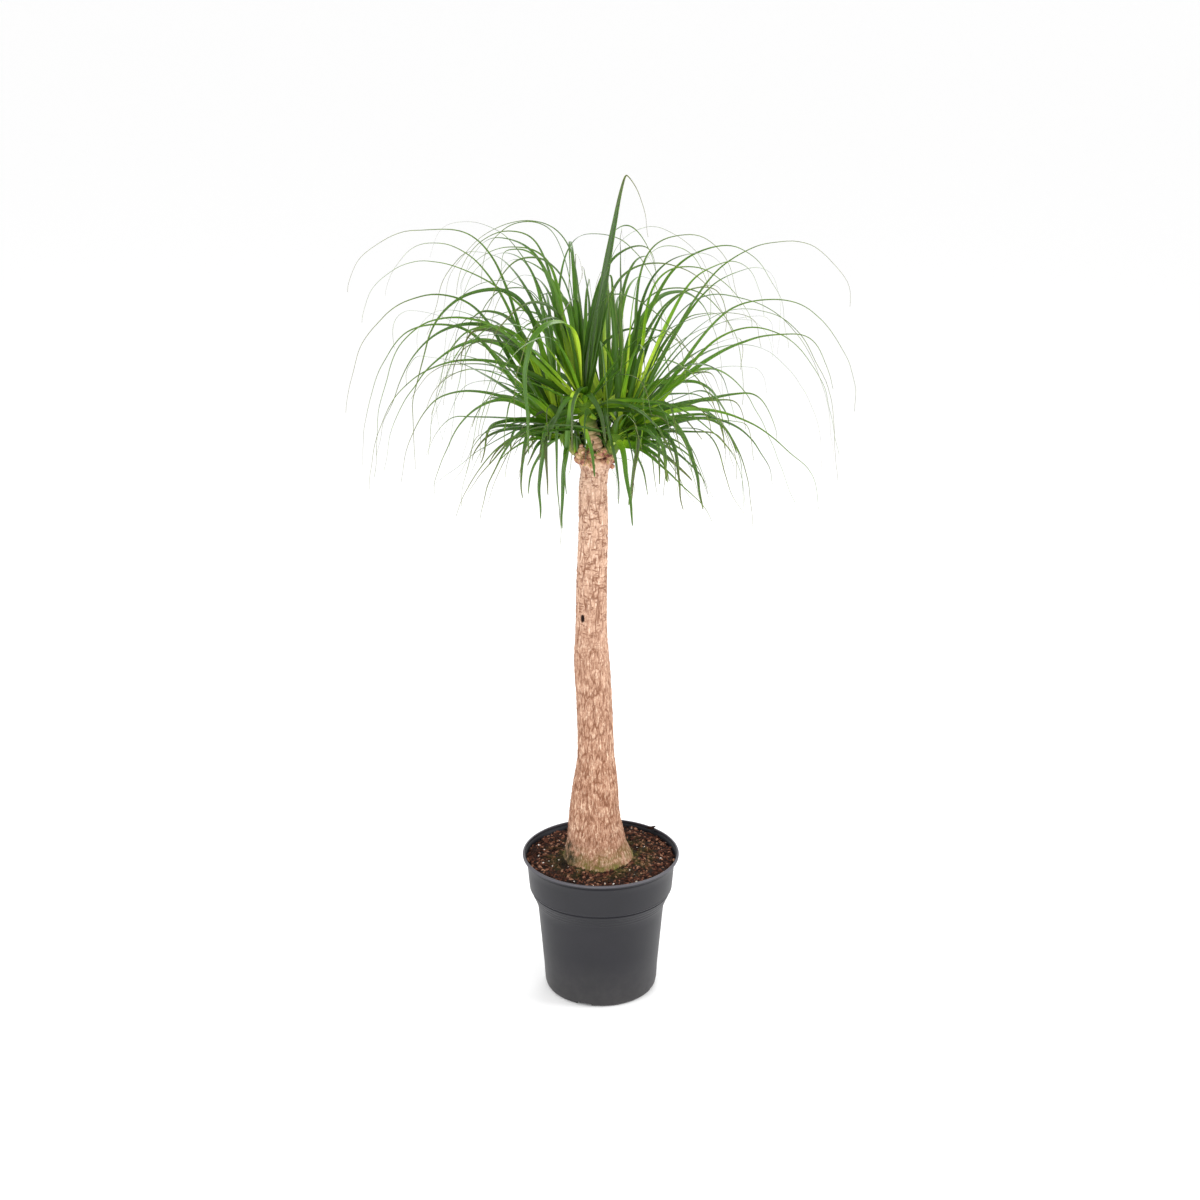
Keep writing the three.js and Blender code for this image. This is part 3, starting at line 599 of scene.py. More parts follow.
# %% Bark relief
FINE_RELIEF = 1.6 * MM
KNOB_SPACING = 13 * MM
tree, size = new_geometry_tree("bark relief", BARK)
spot = node(tree, "GeometryNodeInputPosition")
shown, knot = bark_pattern(tree, spot, size)
height = node(tree, "ShaderNodeSeparateXYZ", {"Vector": spot}).outputs["Z"]
callused = eased(tree, height, size["Callus from"], size["Callus full"])
sunk = node(tree, "ShaderNodeMath", {0: shown, 1: size["Crack depth"]}, operation="MULTIPLY")
hole = node(tree, "ShaderNodeMath", {0: knot, 1: size["Knot depth"]}, operation="MULTIPLY")
hollow = node(tree, "ShaderNodeMath", {0: sunk, 1: hole}, operation="ADD")
fine = node(tree, "ShaderNodeTexNoise", {"Vector": spot, "Scale": 190.0, "Detail": 4.0, "Roughness": 0.6})
rough = node(tree, "ShaderNodeMapRange", {"Value": fine, "To Min": -FINE_RELIEF, "To Max": FINE_RELIEF})
knobs = node(tree, "ShaderNodeTexVoronoi", {"Vector": spot, "Scale": 1 / KNOB_SPACING, "Smoothness": 0.6},
             feature="SMOOTH_F1")
lumps = node(tree, "ShaderNodeMapRange", {"Value": knobs, "From Min": 0.1, "From Max": 0.75, "To Min": 0.6,
                                          "To Max": -0.5}, interpolation_type="SMOOTHSTEP")
lumpy = node(tree, "ShaderNodeMath", {0: lumps, 1: size["Callus depth"]}, operation="MULTIPLY")
callus = node(tree, "ShaderNodeMath", {0: lumpy, 1: callused}, operation="MULTIPLY")
grown = node(tree, "ShaderNodeMath", {0: rough, 1: callus}, operation="ADD")
push = node(tree, "ShaderNodeMath", {0: grown, 1: hollow}, operation="SUBTRACT")
normal = node(tree, "GeometryNodeInputNormal")
offset = node(tree, "ShaderNodeVectorMath", {0: normal, "Scale": push}, operation="SCALE")
bark_moved = node(tree, "GeometryNodeSetPosition", {"Geometry": size["Geometry"], "Offset": offset})
bark_tree = tree

# %% [markdown]
# ### Trunk finish: dry cork bark
# Dry bark scatters light evenly and hardly shines. Its plates are a pinkish tan, paler where they have
# rubbed and warmer where they are sheltered, and the cracks are dark brown. Near the soil the bark stays
# damp, so a film of algae tints it olive. In the hollow at its left a painted shade makes it almost black.
# The callus ring is younger tissue, pink and purple-brown.

# %% Trunk finish
# painted shade: the hollow at the left of the trunk's foot is darkened as if in shadow
SHADE_SPOT = (-57 * MM, -26 * MM, 258 * MM)
SHADE_REACH = (12 * MM, 38 * MM)  # black inside the first distance, gone beyond the second
DAMP_HEIGHT = (0.240, 0.280)  # damp up to the first, dry from the second
CALLUS_HEIGHT = (0.940, 0.950)
PLATE_HEIGHT = (0.40, 0.92)  # the lower bark's tone turns into that of the plates
BROAD_SHARE = 0.14  # of the broad patches in the mottle
UPRIGHT = (1.0, 1.0, 0.22)  # draws the mottle out upwards
CRACK_DARKEST = 0.8
PORE = 1.6 * MM


def shade_at(tree, place):
    """Painted shade: 1 in the hollow at the left of the trunk's foot, 0 away from it."""
    away = node(tree, "ShaderNodeVectorMath", {0: place, 1: SHADE_SPOT}, operation="DISTANCE")
    return eased(tree, away.outputs["Value"], *SHADE_REACH, flip=True)


bark_material, tree, shader = new_material("dry cork bark")
place = node(tree, "ShaderNodeTexCoord").outputs["Object"]
height = node(tree, "ShaderNodeSeparateXYZ", {"Vector": place}).outputs["Z"]
upright = node(tree, "ShaderNodeMapping", {"Vector": place, "Scale": UPRIGHT})
mottle = node(tree, "ShaderNodeTexNoise", {"Vector": upright, "Scale": 320.0, "Detail": 5.0,
                                           "Roughness": 0.75})
broad = node(tree, "ShaderNodeTexNoise", {"Vector": place, "Scale": 38.0, "Detail": 3.0})
both = node(tree, "ShaderNodeMix", {0: BROAD_SHARE, 2: mottle, 3: broad}, data_type="FLOAT")
low_tone = node(tree, "ShaderNodeValToRGB", {"Fac": both},
                stops=[(0.36, "#684432"), (0.46, "#9A7058"), (0.54, "#B38C74"), (0.62, "#DDBEA3")])
plate_tone = node(tree, "ShaderNodeValToRGB", {"Fac": both},
                  stops=[(0.36, "#9D7964"), (0.46, "#BD9A83"), (0.53, "#CEAB94"), (0.63, "#E6C9B4")])
higher = node(tree, "ShaderNodeMapRange", {"Value": height, "From Min": PLATE_HEIGHT[0],
                                           "From Max": PLATE_HEIGHT[1]})
crack, knot = bark_pattern(tree, place, BARK)
crack_dark = node(tree, "ShaderNodeMapRange", {"Value": crack, "From Min": 0.05, "From Max": 0.9,
                                               "To Max": CRACK_DARKEST})
damp_noise = node(tree, "ShaderNodeTexNoise", {"Vector": place, "Scale": 70.0, "Detail": 5.0,
                                               "Roughness": 0.65})
damp_spots = node(tree, "ShaderNodeMapRange", {"Value": damp_noise, "From Min": 0.38, "From Max": 0.62})
damp_height = node(tree, "ShaderNodeMapRange", {"Value": height, "From Min": DAMP_HEIGHT[0],
                                                "From Max": DAMP_HEIGHT[1], "To Min": 1.0, "To Max": 0.0})
darkened = node(tree, "ShaderNodeMath", {0: damp_height, 1: damp_spots}, operation="MULTIPLY")
# painted shade, dark olive, in the hollow at the left of the trunk's foot
shade = node(tree, "ShaderNodeMath", {0: shade_at(tree, place), 1: damp_spots}, operation="MULTIPLY")
young_noise = node(tree, "ShaderNodeTexNoise", {"Vector": place, "Scale": 90.0, "Detail": 3.0})
young_tone = node(tree, "ShaderNodeValToRGB", {"Fac": young_noise},
                  stops=[(0.3, "#5E3A2C"), (0.48, "#B07E66"), (0.58, "#D0A98A"), (0.72, "#E4C6AA")])
is_callus = node(tree, "ShaderNodeMapRange", {"Value": height, "From Min": CALLUS_HEIGHT[0],
                                              "From Max": CALLUS_HEIGHT[1]})
bark_tone = paint(tree, low_tone, (higher, plate_tone), (crack_dark, "#70452F"), (knot, "#1E100B"),
                  (darkened, "#66662C"), (shade, "#2E2A1E"), (is_callus, young_tone))
pores = node(tree, "ShaderNodeTexNoise", {"Vector": place, "Scale": 1 / PORE, "Detail": 3.0})
bump = node(tree, "ShaderNodeBump", {"Height": pores, "Strength": 0.35, "Distance": 0.5 * MM})
fill(tree, shader, {"Base Color": bark_tone, "Roughness": 0.9, "Specular IOR Level": 0.25, "Normal": bump})

finish_tree(bark_tree, bark_moved, bark_material)
run_tree(trunk, bark_tree, BARK)
smooth(trunk.data)
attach(trunk, "root")
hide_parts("trunk")

# %% [markdown]
# ## Bark soil
# The pot is filled with composted pine bark: chips of 3 to 9 mm, reddish brown, some damp and dark, with a
# few white grains of perlite that let air in. The solid soil is kept and only gets a dark finish, and chips
# are scattered over a bed that follows its top. A chip is a ball of twenty faces, squashed, turned and bent
# by noise, so that fifteen hundred of them stay light.

# %% The bed that carries the chips
SOIL_MIDDLE = 243
SOIL_EDGE = 240
SOIL_LUMP = 1.8
HEAP_RADIUS = 125
BED_RADIUS = 126.5
BED_RINGS = 40
BED_SIDES = 96
FOOT_CLEAR = 56.0


def soil_top(x, y):
    """Height of the heaped soil, lumpy by a sum of waves."""
    heap = mix(SOIL_MIDDLE, SOIL_EDGE, min(1, math.hypot(x, y) / HEAP_RADIUS))
    waves = math.sin(x / 9 + 2 * math.sin(y / 17)) * math.sin(y / 8 + 1) + 0.6 * math.sin((x - y) / 13)
    return heap + SOIL_LUMP * waves


def bed_point(radius, angle):
    x, y = radius * math.cos(angle), radius * math.sin(angle)
    return (x * MM, y * MM, soil_top(x, y) * MM)


def soil_bed(name):
    """An open ring of faces on top of the soil, from the trunk's foot to the pot's wall."""
    radii = np.linspace(FOOT_CLEAR, BED_RADIUS, BED_RINGS)
    angles = np.linspace(0, 2 * math.pi, BED_SIDES, endpoint=False)
    points = [bed_point(radius, angle) for radius in radii for angle in angles]
    faces = []
    for ring in range(BED_RINGS - 1):
        for side in range(BED_SIDES):
            a, b = ring * BED_SIDES + side, ring * BED_SIDES + (side + 1) % BED_SIDES
            faces.append((a, a + BED_SIDES, b + BED_SIDES, b))
    mesh = bpy.data.meshes.new(name)
    mesh.from_pydata(points, [], faces)
    return mesh


# %% Soil finish: composted bark
TONE_GRAIN = 0.25  # how far a chip's own tone varies
MOSS_REACH = (58 * MM, 105 * MM)  # from the axis to the first there is most moss, beyond the second none


def soil_finish(name, stops, moss_and_shade):
    """Chips take their tone from the draw stored on each of them. Moss and painted shade darken them near the
    trunk.
    """
    material, tree, shader = new_material(name)
    place = node(tree, "ShaderNodeTexCoord").outputs["Object"]
    draw = node(tree, "ShaderNodeAttribute", attribute_name="tone").outputs["Fac"]
    grain = node(tree, "ShaderNodeTexNoise", {"Vector": place, "Scale": 420.0, "Detail": 3.0})
    varied = node(tree, "ShaderNodeMapRange", {"Value": grain, "To Min": -TONE_GRAIN, "To Max": TONE_GRAIN})
    share = node(tree, "ShaderNodeMath", {0: draw, 1: varied}, operation="ADD", use_clamp=True)
    tone = node(tree, "ShaderNodeValToRGB", {"Fac": share}, stops=stops)
    flat = node(tree, "ShaderNodeVectorMath", {0: place, 1: (1, 1, 0)}, operation="MULTIPLY")
    far = node(tree, "ShaderNodeVectorMath", {0: flat}, operation="LENGTH").outputs["Value"]
    near = node(tree, "ShaderNodeMapRange", {"Value": far, "From Min": MOSS_REACH[0],
                                             "From Max": MOSS_REACH[1], "To Min": 1.0, "To Max": 0.0})
    patches = node(tree, "ShaderNodeTexNoise", {"Vector": place, "Scale": 45.0, "Detail": 3.0})
    growth = node(tree, "ShaderNodeMapRange", {"Value": patches, "From Min": 0.42, "From Max": 0.62})
    moss = node(tree, "ShaderNodeMath", {0: near, 1: growth}, operation="MULTIPLY")
    mossed = node(tree, "ShaderNodeMath", {0: moss, 1: moss_and_shade}, operation="MULTIPLY")
    # painted shade: the chips in the hollow at the left of the trunk's foot are darkened as if in shadow
    darkened = node(tree, "ShaderNodeMath", {0: shade_at(tree, place), 1: moss_and_shade}, operation="MULTIPLY")
    soil_tone = paint(tree, tone, (mossed, "#4A4A22"), (darkened, "#1E1C12"))
    fill(tree, shader, {"Base Color": soil_tone, "Roughness": 0.9, "Specular IOR Level": 0.15})
    return material


BARK_TONES = [(0.0, "#25150E"), (0.3, "#371F16"), (0.55, "#4C2C20"), (0.8, "#68402F"), (1.0, "#97705A")]
chip_material = soil_finish("composted pine bark", BARK_TONES, 0.9)
perlite_material = soil_finish("expanded perlite", [(0.0, "#B7AA9C"), (1.0, "#EFE9E2")], 0.0)
bed_material = soil_finish("damp soil", [(0.0, "#1B110C"), (1.0, "#2E1C13")], 0.5)
soil_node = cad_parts["soil"]
for slot in soil_node.material_slots:
    slot.material = bed_material

# %% Chips scattered over the bed
CHIPS = {
    "Spacing": 3.0 * MM,
    "Per square metre": 60000.0,
    "Shortest": 1.5 * MM,
    "Longest": 4.4 * MM,
    "Roughness": 2.6 * MM,
    "Seed": 4,
}
PERLITE = {**CHIPS, "Spacing": 9.0 * MM, "Per square metre": 900.0, "Shortest": 1.2 * MM, "Longest": 2.4 * MM,
           "Roughness": 1.0 * MM, "Seed": 11}
TILTED_MOST = (0.7, 0.7, 6.3)  # radians about x, y and z
TILTED_LEAST = (-0.7, -0.7, 0.0)
THICKEST = 1.6  # in shortest half widths
BEND_SCALE = 260.0


def scatter(name, sizes, material):
    """Scatters bent little blocks over the soil bed, and keeps only them."""
    tree, size = new_geometry_tree(name, sizes)
    seed = size["Seed"]
    spots = node(tree, "GeometryNodeDistributePointsOnFaces",
                 {"Mesh": size["Geometry"], "Distance Min": size["Spacing"],
                  "Density Max": size["Per square metre"], "Seed": seed}, distribute_method="POISSON")
    block = node(tree, "GeometryNodeMeshIcoSphere", {"Radius": 1.0, "Subdivisions": 1})
    turned = node(tree, "FunctionNodeRandomValue", {0: TILTED_LEAST, 1: TILTED_MOST, "Seed": seed},
                  data_type="FLOAT_VECTOR")
    low = node(tree, "ShaderNodeCombineXYZ", {axis: size["Shortest"] for axis in "XYZ"})
    flat = node(tree, "ShaderNodeMath", {0: size["Shortest"], 1: THICKEST}, operation="MULTIPLY")
    high = node(tree, "ShaderNodeCombineXYZ", {"X": size["Longest"], "Y": size["Longest"], "Z": flat})
    sized = node(tree, "FunctionNodeRandomValue", {0: low, 1: high, "Seed": seed}, data_type="FLOAT_VECTOR")
    blocks = node(tree, "GeometryNodeInstanceOnPoints",
                  {"Points": spots, "Instance": block, "Rotation": turned, "Scale": sized})
    draw = node(tree, "FunctionNodeRandomValue", {2: 0.0, 3: 1.0, "Seed": seed}, data_type="FLOAT").outputs[1]
    toned = node(tree, "GeometryNodeStoreNamedAttribute", {"Geometry": blocks, "Name": "tone", "Value": draw},
                 data_type="FLOAT", domain="INSTANCE")
    real = node(tree, "GeometryNodeRealizeInstances", {"Geometry": toned})
    spot = node(tree, "GeometryNodeInputPosition")
    nudge = nudge_by_noise(tree, spot, BEND_SCALE, 1.0, size["Roughness"])
    bent = node(tree, "GeometryNodeSetPosition", {"Geometry": real, "Offset": nudge})
    finish_tree(tree, bent, material)
    piece = new_piece(name, soil_bed(name))
    run_tree(piece, tree, sizes)
    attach(piece, "root")


scatter("bark_chips", CHIPS, chip_material)
scatter("perlite", PERLITE, perlite_material)

# %% A flake of bark that lies over the rim
FLAKE_PLACE = (89 * MM, 91 * MM, 252 * MM)
FLAKE_HALF = (7 * MM, 3.0 * MM, 2.2 * MM)
FLAKE_TURN = math.radians(-12)
FLAKE_DENT = 0.35
FLAKE_TONE = 0.05  # among the darkest chips

shape = bmesh.new()
bmesh.ops.create_icosphere(shape, subdivisions=2, radius=1.0)
for corner in shape.verts:
    corner.co *= 1 + FLAKE_DENT * math.sin(7 * corner.co.x + 5 * corner.co.y)
shape.transform(Matrix.Translation(FLAKE_PLACE) @ Matrix.Rotation(FLAKE_TURN, 4, "Y")
                @ Matrix.Diagonal((*FLAKE_HALF, 1)))
flake_mesh = mesh_of(shape, "rim_flake")
add_values(flake_mesh, "tone", np.full(len(flake_mesh.vertices), FLAKE_TONE))
flake_mesh.materials.append(chip_material)
flake = new_piece("rim_flake", flake_mesh)
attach(flake, "root")

# %% [markdown]
# ## Heads of leaves
# Every leaf starts on a bud at its shoot's end, one golden angle further round than the last. Young leaves
# stand up in the middle, old ones lie low and hang. A leaf is a curve from its root to its crest and on to
# its tip, and a seeded draw varies it. The leaves that shape the outline are listed one by one. This is the
# same rule as in the solids, so each fine blade lies where its solid is.

# %% Where the heads are
HEADS = [  # growing tip, the way it leans, leaves it tries to grow, degrees where its spiral starts, and how
    # green its shoot is at the bottom (1 is green, below 0 only its top is), and where it leaves the trunk
    {"name": "centre", "tip": (-32, -16, 1064), "axis": (-0.24, -0.10, 0.96), "leaves": 62, "phase": 200,
     "green": -1.5, "start": (-3, -9)},
    {"name": "left", "tip": (-78, 16, 1026), "axis": (-0.45, 0.10, 0.89), "leaves": 56, "phase": 150,
     "green": 0.2, "start": (-16, 2)},
    {"name": "right", "tip": (40, -10, 1018), "axis": (0.40, -0.08, 0.91), "leaves": 64, "phase": 20,
     "green": 0.2, "start": (-2, 0)},
    {"name": "back", "tip": (10, 60, 1036), "axis": (0.12, 0.42, 0.90), "leaves": 52, "phase": 90,
     "green": 0.0, "start": (-7, 6)},
]
CENTRE, LEFT, RIGHT, BACK = range(4)
BUD_LENGTH = 46
BUD_RADIUS = 16
SHOOT_RADIUS = 11.5
STEPS = 48  # of a leaf's path
THREAD = 1.3  # how wide its tip is
CROWN_REACH = 400  # sideways from the axis
CROWN_HIGH = 1340  # only the tall leaf goes higher
CROWN_LOW = 822
FRONT_RISE = 0.42  # towards the camera the low limit rises by this share of the distance
TRUNK_VIEW = {"middle": -8, "half": 55, "level": 985, "rise": 0.35, "free": 9}  # kept open before the trunk
CENTRE_VIEW = {"middle": -35, "half": 42, "front": -60, "level": 1040}  # kept open before the middle head
TRUNK_CLEAR = {"middle": -11, "over": 15, "away": 42}  # kept clear round the trunk's top
SHARP_BEND = 0.1  # the tall leaf folds over sharply
TALL_TAPER = 1.5  # narrows faster than its solid
TALL_AGE = 1.4  # and is darker than the others
LEAF = {"lean": 0.3, "roll": 0.0, "twist": 0.0, "taper": 0.8, "age": 0.1, "bend": 1.0}  # if not given
GOLDEN = math.radians(137.508)


class Draw:
    """A random draw that gives the same numbers wherever it runs."""

    def __init__(self, seed):
        self.state = seed % 2147483647 or 1
        for _ in range(4):
            self.next()

    def next(self):
        self.state = self.state * 48271 % 2147483647
        return self.state / 2147483647

    def between(self, low, high):
        return low + (high - low) * self.next()


for head in HEADS:
    head["w"] = unit(np.array(head["axis"]))
    head["u"] = unit(np.cross((0, 1, 0), head["w"]))
    head["v"] = np.cross(head["w"], head["u"])
    head["tip"] = np.array(head["tip"], float)


def rooted(head, age, around):
    """Where a leaf of this age is rooted on the bud, and the bud's side there."""
    side = math.cos(around) * head["u"] + math.sin(around) * head["v"]
    depth = BUD_LENGTH * mix(0.08, 0.95, age)
    out = BUD_RADIUS * mix(0.15, 0.62, math.sqrt(age))
    return head["tip"] - depth * head["w"] + out * side, side


SHORT_LEAF = 180  # this long and shorter
LONG_LEAF = 500
TAPERS = (0.9, 2.1)  # of a short leaf and of a long one


def taper_of(root, crest, tip):
    """A long leaf is drawn out to a thread for most of its length, a short one narrows evenly."""
    reach = np.linalg.norm(crest - root) + np.linalg.norm(tip - crest)
    return mix(*TAPERS, min(1, max(0, (reach - SHORT_LEAF) / (LONG_LEAF - SHORT_LEAF))))


# %% Leaves listed one by one
OUTLINE_LEAVES = [  # head, crest, tip, width, degrees it rises at first
    (CENTRE, (40, -20, 1400), (78, 0, 1308), 27, 78),
    (CENTRE, (-145, -50, 1320), (-220, -70, 1225), 15, 60),
    (CENTRE, (-130, 40, 1285), (-220, 60, 1215), 13, 66),
    (LEFT, (-255, 30, 1315), (-400, 30, 1215), 10, 62),
    (LEFT, (-270, 130, 1275), (-355, 160, 1185), 10, 60),
    (BACK, (-285, 120, 1245), (-390, 150, 1140), 9, 50),
    (LEFT, (-260, -60, 1225), (-395, -80, 1045), 13, 45),
    (LEFT, (-255, 40, 1160), (-390, 60, 915), 12, 35),
    (CENTRE, (-230, -90, 1195), (-355, -110, 950), 12, 40),
    (CENTRE, (55, 30, 1285), (80, 60, 1115), 14, 84),
    (RIGHT, (130, 20, 1305), (220, 20, 1200), 10, 75),
    (BACK, (195, 130, 1270), (310, 165, 1095), 13, 60),
    (RIGHT, (135, -50, 1265), (230, -80, 1180), 15, 66),
    (RIGHT, (295, 20, 1295), (395, 30, 1195), 9, 60),
    (RIGHT, (265, -40, 1215), (400, -50, 1040), 10, 40),
    (RIGHT, (240, 30, 1155), (385, 40, 950), 10, 30),
    (CENTRE, (-45, -60, 1220), (-60, -110, 1180), 16, 86),
    (CENTRE, (-30, -95, 1085), (-45, -120, 995), 13, 45),
    (RIGHT, (0, -60, 1150), (25, -90, 910), 13, 88),
    (CENTRE, (-85, -150, 1205), (-130, -190, 1060), 14, 66),
    (LEFT, (-115, -30, 1005), (-195, -40, 855), 11, 10),
    (CENTRE, (-65, -60, 1025), (-65, -75, 825), 11, 0),
    (RIGHT, (60, -50, 1015), (50, -90, 895), 11, 10),
    (RIGHT, (160, -20, 1020), (245, -30, 840), 11, 20),
    (LEFT, (-160, -20, 1050), (-270, -20, 900), 11, 25),
    (RIGHT, (160, -60, 1045), (345, -80, 885), 12, 30),
    (LEFT, (-210, 20, 1055), (-325, 30, 905), 9, 30),
    (CENTRE, (-100, -230, 1190), (-170, -400, 1060), 13, 50),
    (BACK, (60, 240, 1200), (120, 400, 1040), 13, 50),
    (RIGHT, (110, -200, 1150), (190, -370, 1020), 13, 45),
    (BACK, (-60, 230, 1160), (-120, 370, 1000), 13, 45),
    (LEFT, (-105, -40, 1010), (-125, -75, 905), 13, 5),
    (LEFT, (-85, -55, 1005), (-82, -95, 915), 12, 0),
    (RIGHT, (95, -50, 1005), (125, -85, 890), 13, 5),
    (RIGHT, (75, -70, 1020), (95, -130, 940), 12, 15),
]


def outline_leaf(index, crest, tip, width, degrees):
    head = HEADS[index]
    crest = np.array(crest, float)
    tip = np.array(tip, float)
    rise = math.radians(degrees)
    level = unit(np.array((crest[0] - head["tip"][0], crest[1] - head["tip"][1], 0)))
    around = math.atan2(level @ head["v"], level @ head["u"])
    age = 1 - math.sin(rise)
    root, _ = rooted(head, 0.9 * age, around)
    out = level * math.cos(rise) + np.array((0, 0, math.sin(rise)))
    leaf = {**LEAF, "head": index, "root": root, "out": out, "crest": crest, "tip": tip, "lean": 0.1,
            "width": width, "roll": 1.2 * level[0], "taper": taper_of(root, crest, tip), "age": age}
    if crest[2] > CROWN_HIGH:
        leaf.update(taper=TALL_TAPER, age=TALL_AGE, bend=SHARP_BEND)
    return leaf


# %% Leaves of the spiral
TILTS = (84, -16)  # degrees up from the bud's side, of the youngest leaf and of the oldest
RISES = (110, 285)  # how far the crest is from the root, of the oldest and of the youngest
DROPS = (50, 300)  # from the crest down to the tip
MOST_SPREAD = 190  # from the crest outwards to the tip
WIDTHS = (17, 11.5)  # of the youngest and of the oldest
CLIMB = 0.84  # share of the rise that goes up, where a leaf starts upright
STRAND_TURN = 67  # degrees


def spiral_leaf(index, number, attempt, strand=0):
    """One leaf of a head's spiral. A second strand fills in between the leaves of the first."""
    head = HEADS[index]
    draw = Draw(1 + 7919 * ((index + 4 * strand) * 1000 + number) + 104729 * attempt)
    age = (number + 0.5) / head["leaves"]
    loose = 1 + attempt / 25
    phase = math.radians(head["phase"] + STRAND_TURN * strand)
    around = phase + number * GOLDEN + draw.between(-0.3, 0.3) * loose
    root, side = rooted(head, age, around)
    tilt = math.radians(mix(*TILTS, age ** 0.9) + draw.between(-8, 8) * loose)
    out = unit(side * math.cos(tilt) + head["w"] * math.sin(tilt))
    steep = max(0.0, out[2])
    rise = mix(*RISES, min(1, 1.4 * (1 - age))) * draw.between(0.55, 1.3) * mix(0.45, 1, min(1, 2 * steep))
    heading = math.atan2(out[1], out[0]) + draw.between(-0.2, 0.2)
    far = rise * math.cos(0.9 * math.asin(out[2]))
    climb = CLIMB * rise * steep ** 1.3
    crest = root + np.array((far * math.cos(heading), far * math.sin(heading), climb))
    heading += draw.between(-0.3, 0.3)
    drop = mix(*DROPS, draw.next() ** 1.6) * mix(1, 0.6, age)
    spread = min(MOST_SPREAD, drop * draw.between(0.5, 1.25) * mix(0.8, 1.4, age))
    tip = crest + np.array((spread * math.cos(heading), spread * math.sin(heading), -drop))
    return {**LEAF, "head": index, "root": root, "out": out, "crest": crest, "tip": tip, "age": age,
            "lean": draw.between(-0.3, 0.5) + 0.5 * age,
            "width": mix(*WIDTHS, age ** 0.7) * draw.between(0.82, 1.12),
            "roll": draw.between(-0.7, 0.7) + 0.6 * math.cos(heading),
            "twist": draw.between(-1, 1),
            "taper": draw.between(0.7, 1.3) * taper_of(root, crest, tip)}


def bezier(p0, p1, p2, p3, t):
    t = t[:, None]
    s = 1 - t
    return s ** 3 * p0 + 3 * s * s * t * p1 + 3 * s * t * t * p2 + t ** 3 * p3


ROOT_PULL = 0.45  # how far each end of the two curves reaches its own way, as shares of the rise or the drop
CREST_PULL = (0.36, 0.4)  # before the crest and after it
TIP_PULL = 0.38


def path_of(leaf, steps=STEPS):
    """From the root up to the crest, level there, then down to the tip."""
    root, crest, tip = leaf["root"], leaf["crest"], leaf["tip"]
    first = unit((crest - root) * (1, 1, 0))
    second = unit((tip - crest) * (1, 1, 0))
    over = unit(first + second)
    if crest[2] < root[2] + 1:
        over = unit(over + (0, 0, -0.15))
    down = unit(second * leaf["lean"] - (0, 0, 1))
    rise = np.linalg.norm(crest - root)
    drop = np.linalg.norm(tip - crest)
    wide = leaf["bend"] * min(rise, drop)
    before = max(4, int(steps * rise / (rise + drop) + 0.5))
    after = steps - before
    upward = bezier(root, root + ROOT_PULL * rise * leaf["out"],
                    crest - CREST_PULL[0] * leaf["bend"] * rise * over, crest, np.arange(before) / before)
    downward = bezier(crest, crest + min(CREST_PULL[1] * drop, 0.5 * wide) * over,
                      tip - TIP_PULL * drop * down, tip, np.arange(after + 1) / after)
    return np.concatenate([upward, downward])


def width_at(leaf, s):
    """Full width: narrow at the root, widest at a sixth, then a long taper to a thread."""
    grow = 0.45 + 0.55 * np.minimum(1, 6 * s)
    return leaf["width"] * grow * np.maximum(0, 1 - s) ** leaf["taper"] * (1 - 0.2 * s) + THREAD


# %% [markdown]
# ### Keeping the leaves apart
# Real leaves push each other aside. Here a new leaf is tried, and tried again a little more freely, until
# it stays inside the crown and clear of the leaves that are already there. Space is cut into cubes, so that
# each point is compared only with the points near it.

# %% Room for a leaf
CELL = 16
HEADS_CLEAR = 3.5  # between leaves of different heads
OWN_CLEAR = 3  # between the middle lines of leaves of one head, which may touch at their roots
ROOT_SHARE = 0.12  # this share of a leaf counts as its root
BETWEEN_POINTS = 2 * 5 ** 2  # added to a squared distance, since a path is only known at its points
NEIGHBOURS = [(a, b, c) for a in (-1, 0, 1) for b in (-1, 0, 1) for c in (-1, 0, 1)]


def cell_of(point):
    return tuple(math.floor(c / CELL) for c in point)


def take(room, point, half, index):
    room.setdefault(cell_of(point), []).append((*point, half, index))


def is_clear(room, leaf, path):
    shares = np.arange(len(path)) / STEPS
    halves = (width_at(leaf, shares) / 2).tolist()
    for n, (x, y, z) in enumerate(path.tolist()):
        if n < 2:
            continue
        i, j, k = cell_of((x, y, z))
        for a, b, c in NEIGHBOURS:
            for px, py, pz, half, index in room.get((i + a, j + b, k + c), ()):
                own = index == leaf["head"]
                if own and shares[n] < ROOT_SHARE:
                    continue
                need = OWN_CLEAR ** 2 if own else (halves[n] + half + HEADS_CLEAR) ** 2 + BETWEEN_POINTS
                if (x - px) ** 2 + (y - py) ** 2 + (z - pz) ** 2 < need:
                    return False
    return True


def inside_crown(path):
    x, y, z = path.T
    if (np.abs(x) > CROWN_REACH).any() or (np.abs(y) > CROWN_REACH).any() or (z > CROWN_HIGH).any():
        return False
    if (z < CROWN_LOW + FRONT_RISE * np.maximum(0, -y)).any():
        return False
    trunk, centre = TRUNK_VIEW, CENTRE_VIEW
    before_trunk = (y < 0) & (np.abs(x - trunk["middle"]) < trunk["half"])
    before_trunk &= z < trunk["level"] - trunk["rise"] * y
    before_centre = (y < centre["front"]) & (np.abs(x - centre["middle"]) < centre["half"])
    before_centre &= z > centre["level"]
    if before_trunk[trunk["free"]:].any() or before_centre.any():
        return False
    return clears_trunk(path, TRUNK_CLEAR["over"], TRUNK_CLEAR["away"])


def clears_trunk(path, over, away):
    """No point of the path lies lower than this over the trunk's top and nearer than this to its middle."""
    x, y, z = path.T
    return not ((z < TRUNK_TOP + over) & (np.hypot(x - TRUNK_CLEAR["middle"], y) < away)).any()


# %% Grow the leaves
SPIRAL_ATTEMPTS = 40
FILL_LEAVES = 5  # further leaves of each head, only here
FILL_ATTEMPTS = 12
BUD_BALLS = 8  # what keeps leaves out of a bud, and how far they lie apart
BALL_STEP = 8
room = {}
leaves = []


